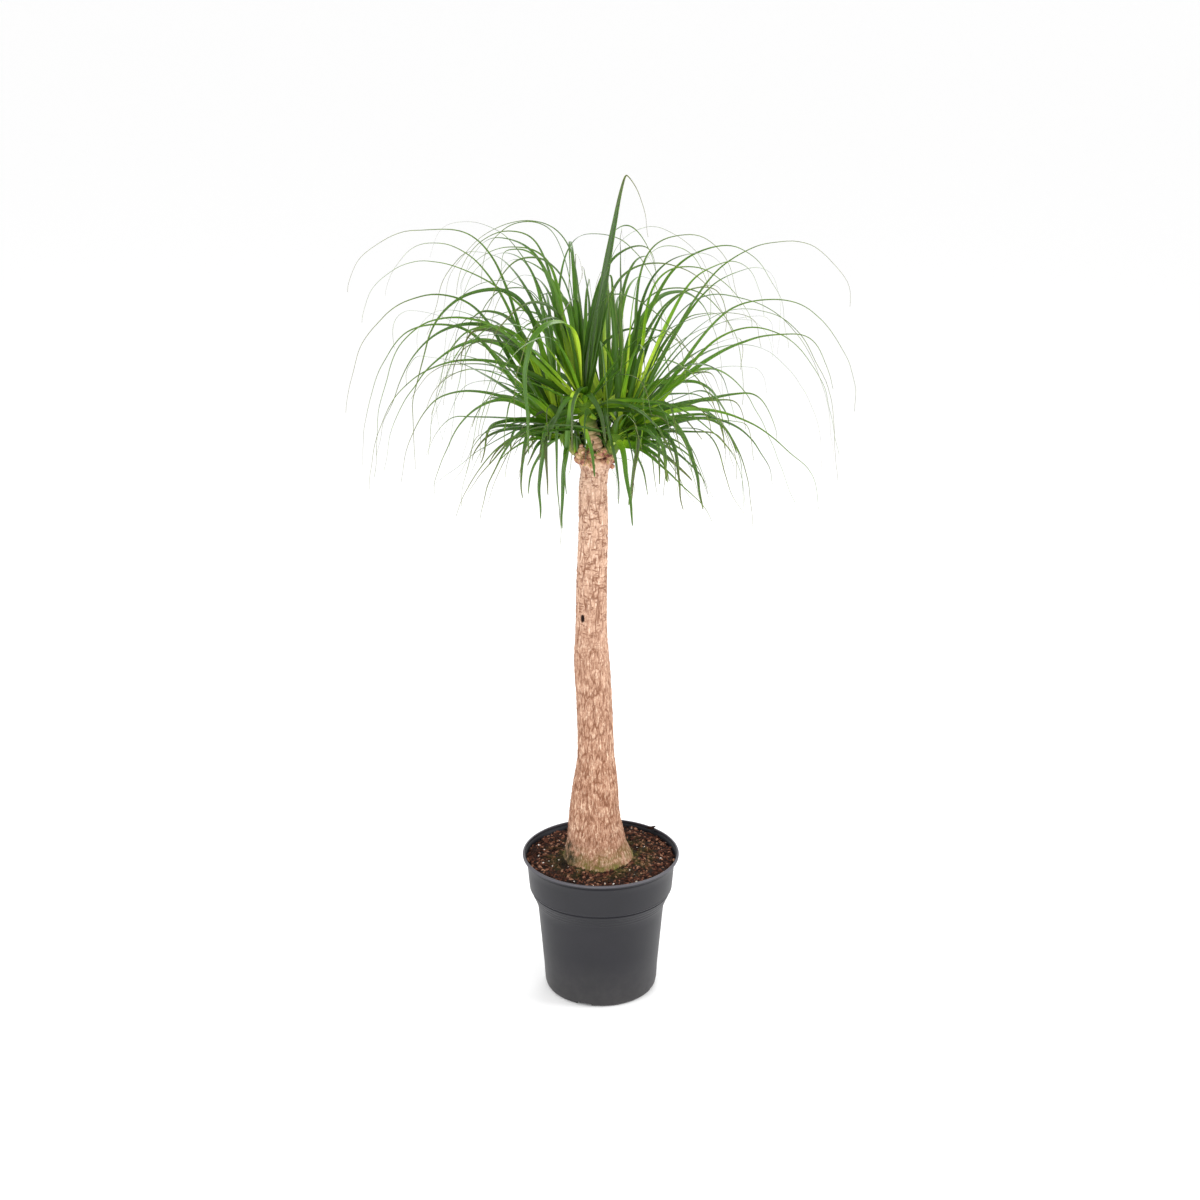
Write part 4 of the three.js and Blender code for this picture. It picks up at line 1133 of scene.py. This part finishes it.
def keep(leaf, path):
    leaves.append(leaf)
    halves = width_at(leaf, np.arange(len(path)) / STEPS) / 2
    for point, half in zip(path.tolist(), halves.tolist()):
        take(room, point, half, leaf["head"])


def first_that_fits(make, attempts, fits):
    """The first of so many attempts that fits, and its path. Both are None when no attempt fits."""
    for attempt in range(attempts):
        leaf = make(attempt)
        path = path_of(leaf)
        if fits(leaf, path):
            return leaf, path
    return None, None


for index, head in enumerate(HEADS):
    for ball in range(BUD_BALLS):
        take(room, (head["tip"] - BALL_STEP * ball * head["w"]).tolist(), BUD_RADIUS, index)
for row in OUTLINE_LEAVES:
    leaf = outline_leaf(*row)
    keep(leaf, path_of(leaf))
order = [((n + 0.5) / head["leaves"], index, n)
         for index, head in enumerate(HEADS) for n in range(head["leaves"])]
for _, index, number in sorted(order):
    leaf, path = first_that_fits(lambda attempt: spiral_leaf(index, number, attempt), SPIRAL_ATTEMPTS,
                                 lambda leaf, path: inside_crown(path) and is_clear(room, leaf, path))
    if leaf:
        keep(leaf, path)
shared = len(leaves)
for index, head in enumerate(HEADS):
    for k in range(FILL_LEAVES):
        number = k * head["leaves"] // FILL_LEAVES
        leaf, _ = first_that_fits(lambda attempt: spiral_leaf(index, number, attempt, strand=1),
                                  FILL_ATTEMPTS, lambda leaf, path: inside_crown(path))
        if leaf:
            leaves.append(leaf)
print("leaves shared with the solids:", shared, "and filled in:", len(leaves) - shared)

# %% [markdown]
# ### Short leaves at the foot of each head
# The oldest leaves that are left sit lowest on the bud. They are short, bend out over the sawn top, and
# hide most of the fork. Between them a tuft of new leaves sprouts from the callus, and a few dried threads
# are left.

# %% Fringe
FRINGE_LEAVES = 4  # of each head
FRINGE_DEPTHS = (1.0, 1.5, 1.5, 1.2)  # how far down each shoot they grow, in lengths of its bud
FRINGE_ROOT = 0.8  # share of the shoot's radius where they are rooted
FRINGE_ATTEMPTS = 20
FRINGE_TILT = (0, 45)  # degrees
FRINGE_REACH = (60, 150)  # from the root out to the crest
FRINGE_DROP = (40, 115)
FRINGE_WIDTH = (10, 14)
FRINGE_CLEAR = (2, 33)  # over the trunk's top, and away from its middle
TRUNK_SHOWN = {"half": 36, "below": 962}  # kept free of the fringe
CROSSING_LEAVES = [  # these hang before the sawn top, beside it and before the middle bud
    (CENTRE, (-39, -54, 1068), (-64, -78, 852), 14, 45),
    (CENTRE, (-30, -46, 1020), (-9, -58, 930), 10, 5),
    (RIGHT, (2, -46, 1050), (32, -70, 895), 12, 45),
    (LEFT, (-80, -50, 1018), (-97, -72, 868), 12, 20),
    (RIGHT, (62, -54, 1010), (50, -72, 892), 12, 15),
    (RIGHT, (92, -54, 1034), (160, -74, 886), 12, 20),
    (RIGHT, (74, -50, 1008), (107, -66, 935), 10, 15),
    (CENTRE, (-76, -150, 1198), (-112, -165, 1000), 15, 70),
    (CENTRE, (-20, -58, 1068), (10, -84, 1000), 13, 30),
    (CENTRE, (-46, -58, 1064), (-78, -84, 998), 12, 30),
]
CROSSING_TAPER = 0.55
LOW_AGE_PAINTED_LIGHT = -1.5  # painted light: the low leaves lie in the crown's shade, and their finish is lighter and yellower by this


def fringe_leaf(index, number, attempt):
    head = HEADS[index]
    draw = Draw(5 + 6131 * (100 * index + number) + 3571 * attempt)
    _, side = rooted(head, 1, number * GOLDEN + draw.between(-0.3, 0.3))
    depth = BUD_LENGTH * draw.between(0.7, FRINGE_DEPTHS[index])
    root = head["tip"] - depth * head["w"] + FRINGE_ROOT * SHOOT_RADIUS * side
    tilt = math.radians(draw.between(*FRINGE_TILT))
    out = unit(side * math.cos(tilt) + head["w"] * math.sin(tilt))
    far = draw.between(*FRINGE_REACH)
    heading = math.atan2(out[1], out[0]) + draw.between(-0.4, 0.4)
    crest = root + (far * math.cos(heading), far * math.sin(heading), far * draw.between(0, 0.5))
    drop = draw.between(*FRINGE_DROP)
    spread = drop * draw.between(0.3, 1.1)
    tip = crest + (spread * math.cos(heading), spread * math.sin(heading), -drop)
    return {**LEAF, "head": index, "root": root, "out": out, "crest": crest, "tip": tip, "age": LOW_AGE_PAINTED_LIGHT,
            "lean": draw.between(-0.3, 0.3), "width": draw.between(*FRINGE_WIDTH),
            "roll": draw.between(-0.8, 0.8), "twist": draw.between(-1, 1), "taper": draw.between(0.5, 0.9),
            "bend": 1.3}


def shows_trunk(leaf, path):
    """Whether a leaf stays clear of the trunk and out of the view of its top."""
    x, y, z = path.T
    before = (np.abs(x - TRUNK_CLEAR["middle"]) < TRUNK_SHOWN["half"]) & (y < 0) & (z < TRUNK_SHOWN["below"])
    return clears_trunk(path, *FRINGE_CLEAR) and not before.any()


for index in range(len(HEADS)):
    for number in range(FRINGE_LEAVES):
        leaf, _ = first_that_fits(lambda attempt: fringe_leaf(index, number, attempt), FRINGE_ATTEMPTS,
                                  shows_trunk)
        if leaf:
            leaves.append(leaf)
# painted light: the crossing leaves get the lighter, yellower finish of the low leaves
leaves += [{**outline_leaf(*row), "taper": CROSSING_TAPER, "age": LOW_AGE_PAINTED_LIGHT} for row in CROSSING_LEAVES]

# %% Short leaves that stand between the shoots
INFILL_LEAVES = 34
INFILL_X = (-42, 24)
INFILL_BACK = 16  # they are rooted from the trunk's middle back to this
INFILL_LEFT = (-18, -12)  # and to the left of this x they start further in front
INFILL_ROOT = 960
INFILL_ASIDE = (26, 30)  # how far crest and tip reach sideways at most
INFILL_RISE = (30, 68)
INFILL_WIDTH = (7, 11)
for number in range(INFILL_LEAVES):
    draw = Draw(23 + 71 * number)
    x = draw.between(*INFILL_X)
    front = INFILL_LEFT[1] if x < INFILL_LEFT[0] else 0
    root = np.array((x, draw.between(front, INFILL_BACK), INFILL_ROOT))
    sideways = draw.between(-1, 1)
    crest = root + (INFILL_ASIDE[0] * sideways, draw.between(-22, 6), draw.between(*INFILL_RISE))
    tip = crest + (INFILL_ASIDE[1] * sideways, draw.between(-20, 0), draw.between(-34, -6))
    leaves.append({**LEAF, "head": CENTRE, "root": root, "out": unit(crest - root), "crest": crest,
                   "tip": tip, "width": draw.between(*INFILL_WIDTH), "roll": draw.between(-0.6, 0.6),
                   "twist": draw.between(-1, 1), "age": draw.between(0.0, 0.9)})

# %% The tuft on the callus, and its dried threads
SPROUT_LEAVES = 7
SPROUT_WIDTH = 4
SPROUT_ROOT = np.array((-11, -22, 950), float)
THREAD_ROOT = np.array((14, -14, 956), float)
DRIED = 9.0  # an age past that of any leaf
DRIED_THREADS = [  # crest, tip, width
    ((30, -24, 980), (56, -34, 962), 0.8),
    ((26, -22, 955), (50, -34, 948), 1.2),
    ((32, -22, 970), (38, -30, 944), 0.8),
]

sprout = []
for number in range(SPROUT_LEAVES):
    draw = Draw(61 + 37 * number)
    heading = math.radians(-90 + 55 * draw.between(-1, 1))
    level = np.array((math.cos(heading), math.sin(heading), 0))
    crest = SPROUT_ROOT + level * draw.between(3, 9) + (0, 0, draw.between(10, 22))
    tip = crest + level * draw.between(3, 8) + (draw.between(-4, 4), 0, draw.between(-9, 2))
    sprout.append({**LEAF, "head": CENTRE, "root": SPROUT_ROOT, "out": unit(level * 0.3 + (0, 0, 1)),
                   "crest": crest, "tip": tip, "width": SPROUT_WIDTH})
for crest, tip, width in DRIED_THREADS:
    crest, tip = np.array(crest, float), np.array(tip, float)
    sprout.append({**LEAF, "head": RIGHT, "root": THREAD_ROOT, "out": unit(crest - THREAD_ROOT),
                   "crest": crest, "tip": tip, "lean": 1.0, "width": width, "taper": 0.5, "age": DRIED})
print("leaves in all:", len(leaves))

# %% [markdown]
# ### Blades
# A ponytail leaf is a strap with a shallow channel along its top and parallel veins. Its middle line is
# kept as a chain of points that know how wide the blade is there and which way its top faces. Geometry
# Nodes turn the chain into a curve and sweep a thin folded section along it. The section's own points carry
# how far across the blade they lie, so that the finish can follow the veins.

# %% Blade tree
BLADE = {
    "Fold": 0.32,
    "Thickness": 0.05,
    "Waver": 7 * MM,
    "Waver length": 90 * MM,
}
NOISE_REACH = 4.0  # noise seldom strays from its middle by more than an eighth, and this makes up for it
SECTION_POINTS = 8

tree, size = new_geometry_tree("strap leaves", BLADE)
spot = node(tree, "GeometryNodeInputPosition")
pattern = node(tree, "ShaderNodeVectorMath", {0: spot, 1: size["Waver length"]}, operation="DIVIDE")
free = node(tree, "ShaderNodeMath", {0: stored(tree, "along"), 1: 2.0}, operation="POWER")
amount = node(tree, "ShaderNodeMath", {0: free, 1: size["Waver"]}, operation="MULTIPLY")
reach = node(tree, "ShaderNodeMath", {0: amount, 1: NOISE_REACH}, operation="MULTIPLY")
waver = nudge_by_noise(tree, pattern, 1.0, 1.0, reach)
swayed = node(tree, "GeometryNodeSetPosition", {"Geometry": size["Geometry"], "Offset": waver})
curve = node(tree, "GeometryNodeMeshToCurve", {0: swayed})
facing = node(tree, "GeometryNodeSetCurveNormal", {0: curve, "Normal": stored(tree, "side", "FLOAT_VECTOR")},
              mode="FREE")
ring = node(tree, "GeometryNodeCurvePrimitiveCircle", {"Resolution": SECTION_POINTS, "Radius": 1.0})
part = node(tree, "ShaderNodeSeparateXYZ", {"Vector": spot}).outputs
aside = node(tree, "ShaderNodeMath", {0: part["X"]}, operation="ABSOLUTE")
raised = node(tree, "ShaderNodeMath", {0: aside, 1: size["Fold"]}, operation="MULTIPLY")
thick = node(tree, "ShaderNodeMath", {0: part["Y"], 1: size["Thickness"]}, operation="MULTIPLY")
level = node(tree, "ShaderNodeMath", {0: raised, 1: thick}, operation="ADD")
folded = node(tree, "ShaderNodeCombineXYZ", {"X": part["X"], "Y": level})
section = node(tree, "GeometryNodeSetPosition", {"Geometry": ring, "Position": folded})
placed = node(tree, "GeometryNodeStoreNamedAttribute",
              {"Geometry": section, "Name": "across", "Value": part["X"]}, data_type="FLOAT", domain="POINT")
blade = node(tree, "GeometryNodeCurveToMesh", {"Curve": facing, "Profile Curve": placed,
                                               "Scale": stored(tree, "half width"), "Fill Caps": True})
leaf_swept = node(tree, "GeometryNodeSetShadeSmooth", {"Geometry": blade})
leaf_tree = tree

# %% [markdown]
# ### Leaf finish: living leaf with a thin wax
# A leaf is a translucent sheet under a thin waxy skin. The skin gives a satin, slightly blue sheen where it
# faces the light, and light that passes through the blade comes out yellow-green. The young bases have
# little chlorophyll and are almost yellow, grown blades are deep green, and the threads dry to a brownish
# olive. The veins are 1 mm apart, too fine to show from here, so they are drawn about twice as wide.

# %% Leaf finish
VEIN_SHADES = (0.72, 1.3)  # the darkest and the lightest vein, as shares of the leaf's green
VEIN_STRETCH = (3.5, 1.2, 90.0)  # across the blade, along it, and from one blade to the next
leaf_material, tree, shader = new_material("waxy strap leaf")
along, across, age, tint = (node(tree, "ShaderNodeAttribute", attribute_name=name).outputs["Fac"]
                            for name in ("along", "across", "age", "tint"))
far = node(tree, "ShaderNodeMath", {0: along, 1: 0.9}, operation="MULTIPLY")
aged = node(tree, "ShaderNodeMath", {0: age, 1: 0.12}, operation="MULTIPLY")
grown = node(tree, "ShaderNodeMath", {0: far, 1: aged}, operation="ADD")
skewed = node(tree, "ShaderNodeMath", {0: tint, 1: 0.75}, operation="POWER")  # few blades are very pale
chance = node(tree, "ShaderNodeMapRange", {"Value": skewed, "To Min": -0.19, "To Max": 0.24})
ripe = node(tree, "ShaderNodeMath", {0: grown, 1: chance}, operation="ADD", use_clamp=True)
green = node(tree, "ShaderNodeValToRGB", {"Fac": ripe},
             stops=[(0.0, "#AECB38"), (0.09, "#759E1C"), (0.2, "#4A7212"), (0.42, "#365614"),
                    (0.72, "#33491B"), (1.0, "#3F3E26")])
line = node(tree, "ShaderNodeCombineXYZ", {"X": across, "Y": along, "Z": tint})
stretched = node(tree, "ShaderNodeMapping", {"Vector": line, "Scale": VEIN_STRETCH})
veins = node(tree, "ShaderNodeTexNoise", {"Vector": stretched, "Scale": 1.0, "Detail": 2.0})
vein_tone = node(tree, "ShaderNodeMapRange", {"Value": veins, "From Min": 0.3, "From Max": 0.7,
                                              "To Min": VEIN_SHADES[0], "To Max": VEIN_SHADES[1]})
veined = node(tree, "ShaderNodeVectorMath", {0: green, "Scale": vein_tone}, operation="SCALE")
ridges = node(tree, "ShaderNodeBump", {"Height": veins, "Strength": 0.25, "Distance": 0.4 * MM})
fill(tree, shader, {"Base Color": veined, "Normal": ridges, "Roughness": 0.42, "IOR": 1.45,
                    "Specular IOR Level": 0.4, "Subsurface Weight": 0.18,
                    "Subsurface Radius": (0.6, 1.0, 0.2), "Subsurface Scale": 2 * MM})
finish_tree(leaf_tree, leaf_swept, leaf_material)

# %% Chains of points for the blades
FINE_STEPS = 64
THREAD_THINNED = 0.45  # a solid's thread has to be thicker than the real one
LONG_TAPER = 1.0  # blades that narrow faster than this end in a thread


def leaf_chain(leaf, number):
    """The points of one leaf in metres, with what the tree and the finish need at each."""
    path = path_of(leaf, FINE_STEPS)
    share = np.arange(len(path)) / FINE_STEPS
    thinned = THREAD_THINNED if leaf["taper"] > LONG_TAPER else 1.0
    ahead = unit((path[-1] - path[0]) * (1, 1, 0))
    across = np.cross((0, 0, 1), ahead)
    line = np.empty_like(path)
    line[1:-1] = path[2:] - path[:-2]
    line[0] = path[1] - path[0]
    line[-1] = path[-1] - path[-2]
    line /= np.linalg.norm(line, axis=1)[:, None]
    flat = across - line * (line @ across)[:, None]
    flat /= np.linalg.norm(flat, axis=1)[:, None]
    up = np.cross(line, flat)
    turn = (leaf["roll"] + leaf["twist"] * share)[:, None]
    side = flat * np.cos(turn) + up * np.sin(turn)
    return {
        "place": path * MM,
        "side": side,
        "half width": width_at(leaf, share) / 2 * mix(1, thinned, share) * MM,
        "along": share,
        "age": np.full(len(path), leaf["age"]),
        "tint": np.full(len(path), Draw(977 * (number + 1)).next()),
    }


# %% Sweep the four heads
for index, head in enumerate(HEADS):
    chains = [leaf_chain(leaf, n) for n, leaf in enumerate(leaves) if leaf["head"] == index]
    name = "leaves_" + head["name"]
    piece = new_piece(name, chain_mesh(name, chains))
    run_tree(piece, leaf_tree, BLADE)
    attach(piece, "root")
    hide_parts("head_" + head["name"])

chains = [leaf_chain(leaf, n) for n, leaf in enumerate(sprout)]
sprout_piece = new_piece("sprout", chain_mesh("sprout", chains))
run_tree(sprout_piece, leaf_tree, BLADE)
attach(sprout_piece, "root")

# %% [markdown]
# ## Shoots, buds and callus
# When a ponytail palm is sawn off, the cut heals over with lumps of callus and new shoots push out of it. A
# shoot's bark carries a ring scar for every leaf that has dropped. Each shoot is one curve from the trunk
# up to its bud, swept with a radius that swells at the bud and steps out a little above every scar. The
# lumps are grown together as a volume, because lumps of living tissue melt into one another.

# %% Ringed shoots
SHOOT_START = 936
SHOOT_STEPS = 70
BUD_STEPS = 50
SCAR_STEP = 8.5
SCAR_PROUD = 1.6
BUD_FORM = ((0, 0.3, 0.7, 1), (SHOOT_RADIUS, BUD_RADIUS, 13.6, 4))  # shares of its length, radii there
KNEE = (0.2, 0.3, 0.45)  # where a shoot bends, as shares of the way to the bud's foot in x, y and z
UNDER_BUD = 0.45  # over this share of its length a shoot turns into the way its bud leans
SHOOT = {"Lumps": 2.4 * MM, "Lump length": 14 * MM}


def shoot_chain(head):
    """From inside the trunk up to the bud's tip, with its radius and how near each point is to a scar."""
    foot = head["tip"] - BUD_LENGTH * head["w"]
    start = np.array((*head["start"], SHOOT_START))
    knee = np.array([mix(start[k], foot[k], share) for k, share in enumerate(KNEE)])
    under_bud = foot - UNDER_BUD * np.linalg.norm(foot - start) * head["w"]
    low = bezier(start, knee, under_bud, foot, np.linspace(0, 1, SHOOT_STEPS))
    shares = np.linspace(0, 1, BUD_STEPS)[1:]
    path = np.concatenate([low, foot + shares[:, None] * BUD_LENGTH * head["w"]])
    length = np.concatenate([[0], np.cumsum(np.linalg.norm(np.diff(path, axis=0), axis=1))])
    in_ring = (length / SCAR_STEP) % 1
    radius = np.full(len(path), SHOOT_RADIUS)
    radius[SHOOT_STEPS:] = np.interp(shares, *BUD_FORM)
    return {"place": path * MM, "half width": (radius + SCAR_PROUD * (0.5 - in_ring)) * MM,
            "scar": in_ring ** 3,
            "bud": np.concatenate([np.linspace(head["green"], 1, SHOOT_STEPS), np.ones(BUD_STEPS - 1)])}


tree, size = new_geometry_tree("ringed shoots", SHOOT)
curve = node(tree, "GeometryNodeMeshToCurve", {0: size["Geometry"]})
ring = node(tree, "GeometryNodeCurvePrimitiveCircle", {"Resolution": 36, "Radius": 1.0})
swept = node(tree, "GeometryNodeCurveToMesh", {"Curve": curve, "Profile Curve": ring,
                                               "Scale": stored(tree, "half width"), "Fill Caps": True})
spot = node(tree, "GeometryNodeInputPosition")
pattern = node(tree, "ShaderNodeVectorMath", {0: spot, 1: size["Lump length"]}, operation="DIVIDE")
nudge = nudge_by_noise(tree, pattern, 1.0, 2.0, size["Lumps"])
shoot_moved = node(tree, "GeometryNodeSetPosition", {"Geometry": swept, "Offset": nudge})
shoot_tree = tree

# %% Shoot finish: ringed young bark
shoot_material, tree, shader = new_material("ringed young bark")
place = node(tree, "ShaderNodeTexCoord").outputs["Object"]
scar, bud = (node(tree, "ShaderNodeAttribute", attribute_name=name).outputs["Fac"]
             for name in ("scar", "bud"))
patches = node(tree, "ShaderNodeTexNoise", {"Vector": place, "Scale": 120.0, "Detail": 3.0})
tan = node(tree, "ShaderNodeValToRGB", {"Fac": patches},
           stops=[(0.32, "#A9835F"), (0.5, "#CFA684"), (0.68, "#E6C3A2")])
fill(tree, shader, {"Base Color": paint(tree, tan, (scar, "#7A5C42"), (bud, "#587A1C")), "Roughness": 0.8,
                    "Specular IOR Level": 0.3})
finish_tree(shoot_tree, shoot_moved, shoot_material)

shoots = new_piece("ringed_shoots", chain_mesh("ringed_shoots", [shoot_chain(head) for head in HEADS]))
run_tree(shoots, shoot_tree, SHOOT)
smooth(shoots.data)
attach(shoots, "root")

# %% Callus lumps
CALLUS_LUMPS = [  # x, y, z, radius
    (-33, -8, 957, 8), (-31, -13, 965, 6), (-35, 0, 948, 8), (-27, -19, 949, 7), (-32, -9, 972, 4),
    (12, -9, 956, 8), (16, -3, 947, 7), (7, -16, 948, 7), (14, -7, 965, 5), (18, -9, 938, 4),
    (-15, -22, 946, 7), (-4, -21, 944, 6), (-18, 17, 955, 9), (3, 16, 955, 9), (-32, 12, 956, 8),
    (-10, 0, 955, 14), (-22, -5, 954, 10), (2, -3, 953, 10), (-1, -16, 962, 7), (-13, -17, 961, 8),
    (6, -14, 966, 5),
]
CALLUS = {"Fineness": 1.1 * MM, "Roughness": 5.0 * MM, "Knob size": 5.5 * MM}
tree, size = new_geometry_tree("callus lumps", CALLUS)
centres = node(tree, "GeometryNodeMeshToPoints", {"Mesh": size["Geometry"],
                                                  "Radius": stored(tree, "lump radius")})
volume = node(tree, "GeometryNodePointsToVolume", {"Points": centres, "Voxel Size": size["Fineness"],
                                                   "Radius": stored(tree, "lump radius")},
              resolution_mode="VOXEL_SIZE")
grown = node(tree, "GeometryNodeVolumeToMesh", {"Volume": volume, "Voxel Size": size["Fineness"]},
             resolution_mode="VOXEL_SIZE")
spot = node(tree, "GeometryNodeInputPosition")
pattern = node(tree, "ShaderNodeVectorMath", {0: spot, 1: size["Knob size"]}, operation="DIVIDE")
knobs = node(tree, "ShaderNodeTexNoise", {"Vector": pattern, "Scale": 1.0, "Detail": 3.0})
signed = node(tree, "ShaderNodeMath", {0: knobs, 1: 0.5}, operation="SUBTRACT")
amount = node(tree, "ShaderNodeMath", {0: signed, 1: size["Roughness"]}, operation="MULTIPLY")
normal = node(tree, "GeometryNodeInputNormal")
offset = node(tree, "ShaderNodeVectorMath", {0: normal, "Scale": amount}, operation="SCALE")
lumps_moved = node(tree, "GeometryNodeSetPosition", {"Geometry": grown, "Offset": offset})
lump_tree = tree

# %% Callus finish: healed wound tissue
callus_material, tree, shader = new_material("healed callus")
place = node(tree, "ShaderNodeTexCoord").outputs["Object"]
patches = node(tree, "ShaderNodeTexNoise", {"Vector": place, "Scale": 80.0, "Detail": 4.0, "Roughness": 0.6})
tissue = node(tree, "ShaderNodeValToRGB", {"Fac": patches},
              stops=[(0.36, "#3C2019"), (0.45, "#875445"), (0.51, "#C08A72"), (0.56, "#9A8A4C"),
                     (0.62, "#E2B498")])
fill(tree, shader, {"Base Color": tissue, "Roughness": 0.85, "Specular IOR Level": 0.3})
finish_tree(lump_tree, lumps_moved, callus_material)

lump_mesh = bpy.data.meshes.new("callus")
lump_mesh.from_pydata([(x * MM, y * MM, z * MM) for x, y, z, _ in CALLUS_LUMPS], [], [])
add_values(lump_mesh, "lump radius", [radius * MM for *_, radius in CALLUS_LUMPS])
callus_piece = new_piece("callus", lump_mesh)
run_tree(callus_piece, lump_tree, CALLUS)
smooth(callus_piece.data)
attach(callus_piece, "root")
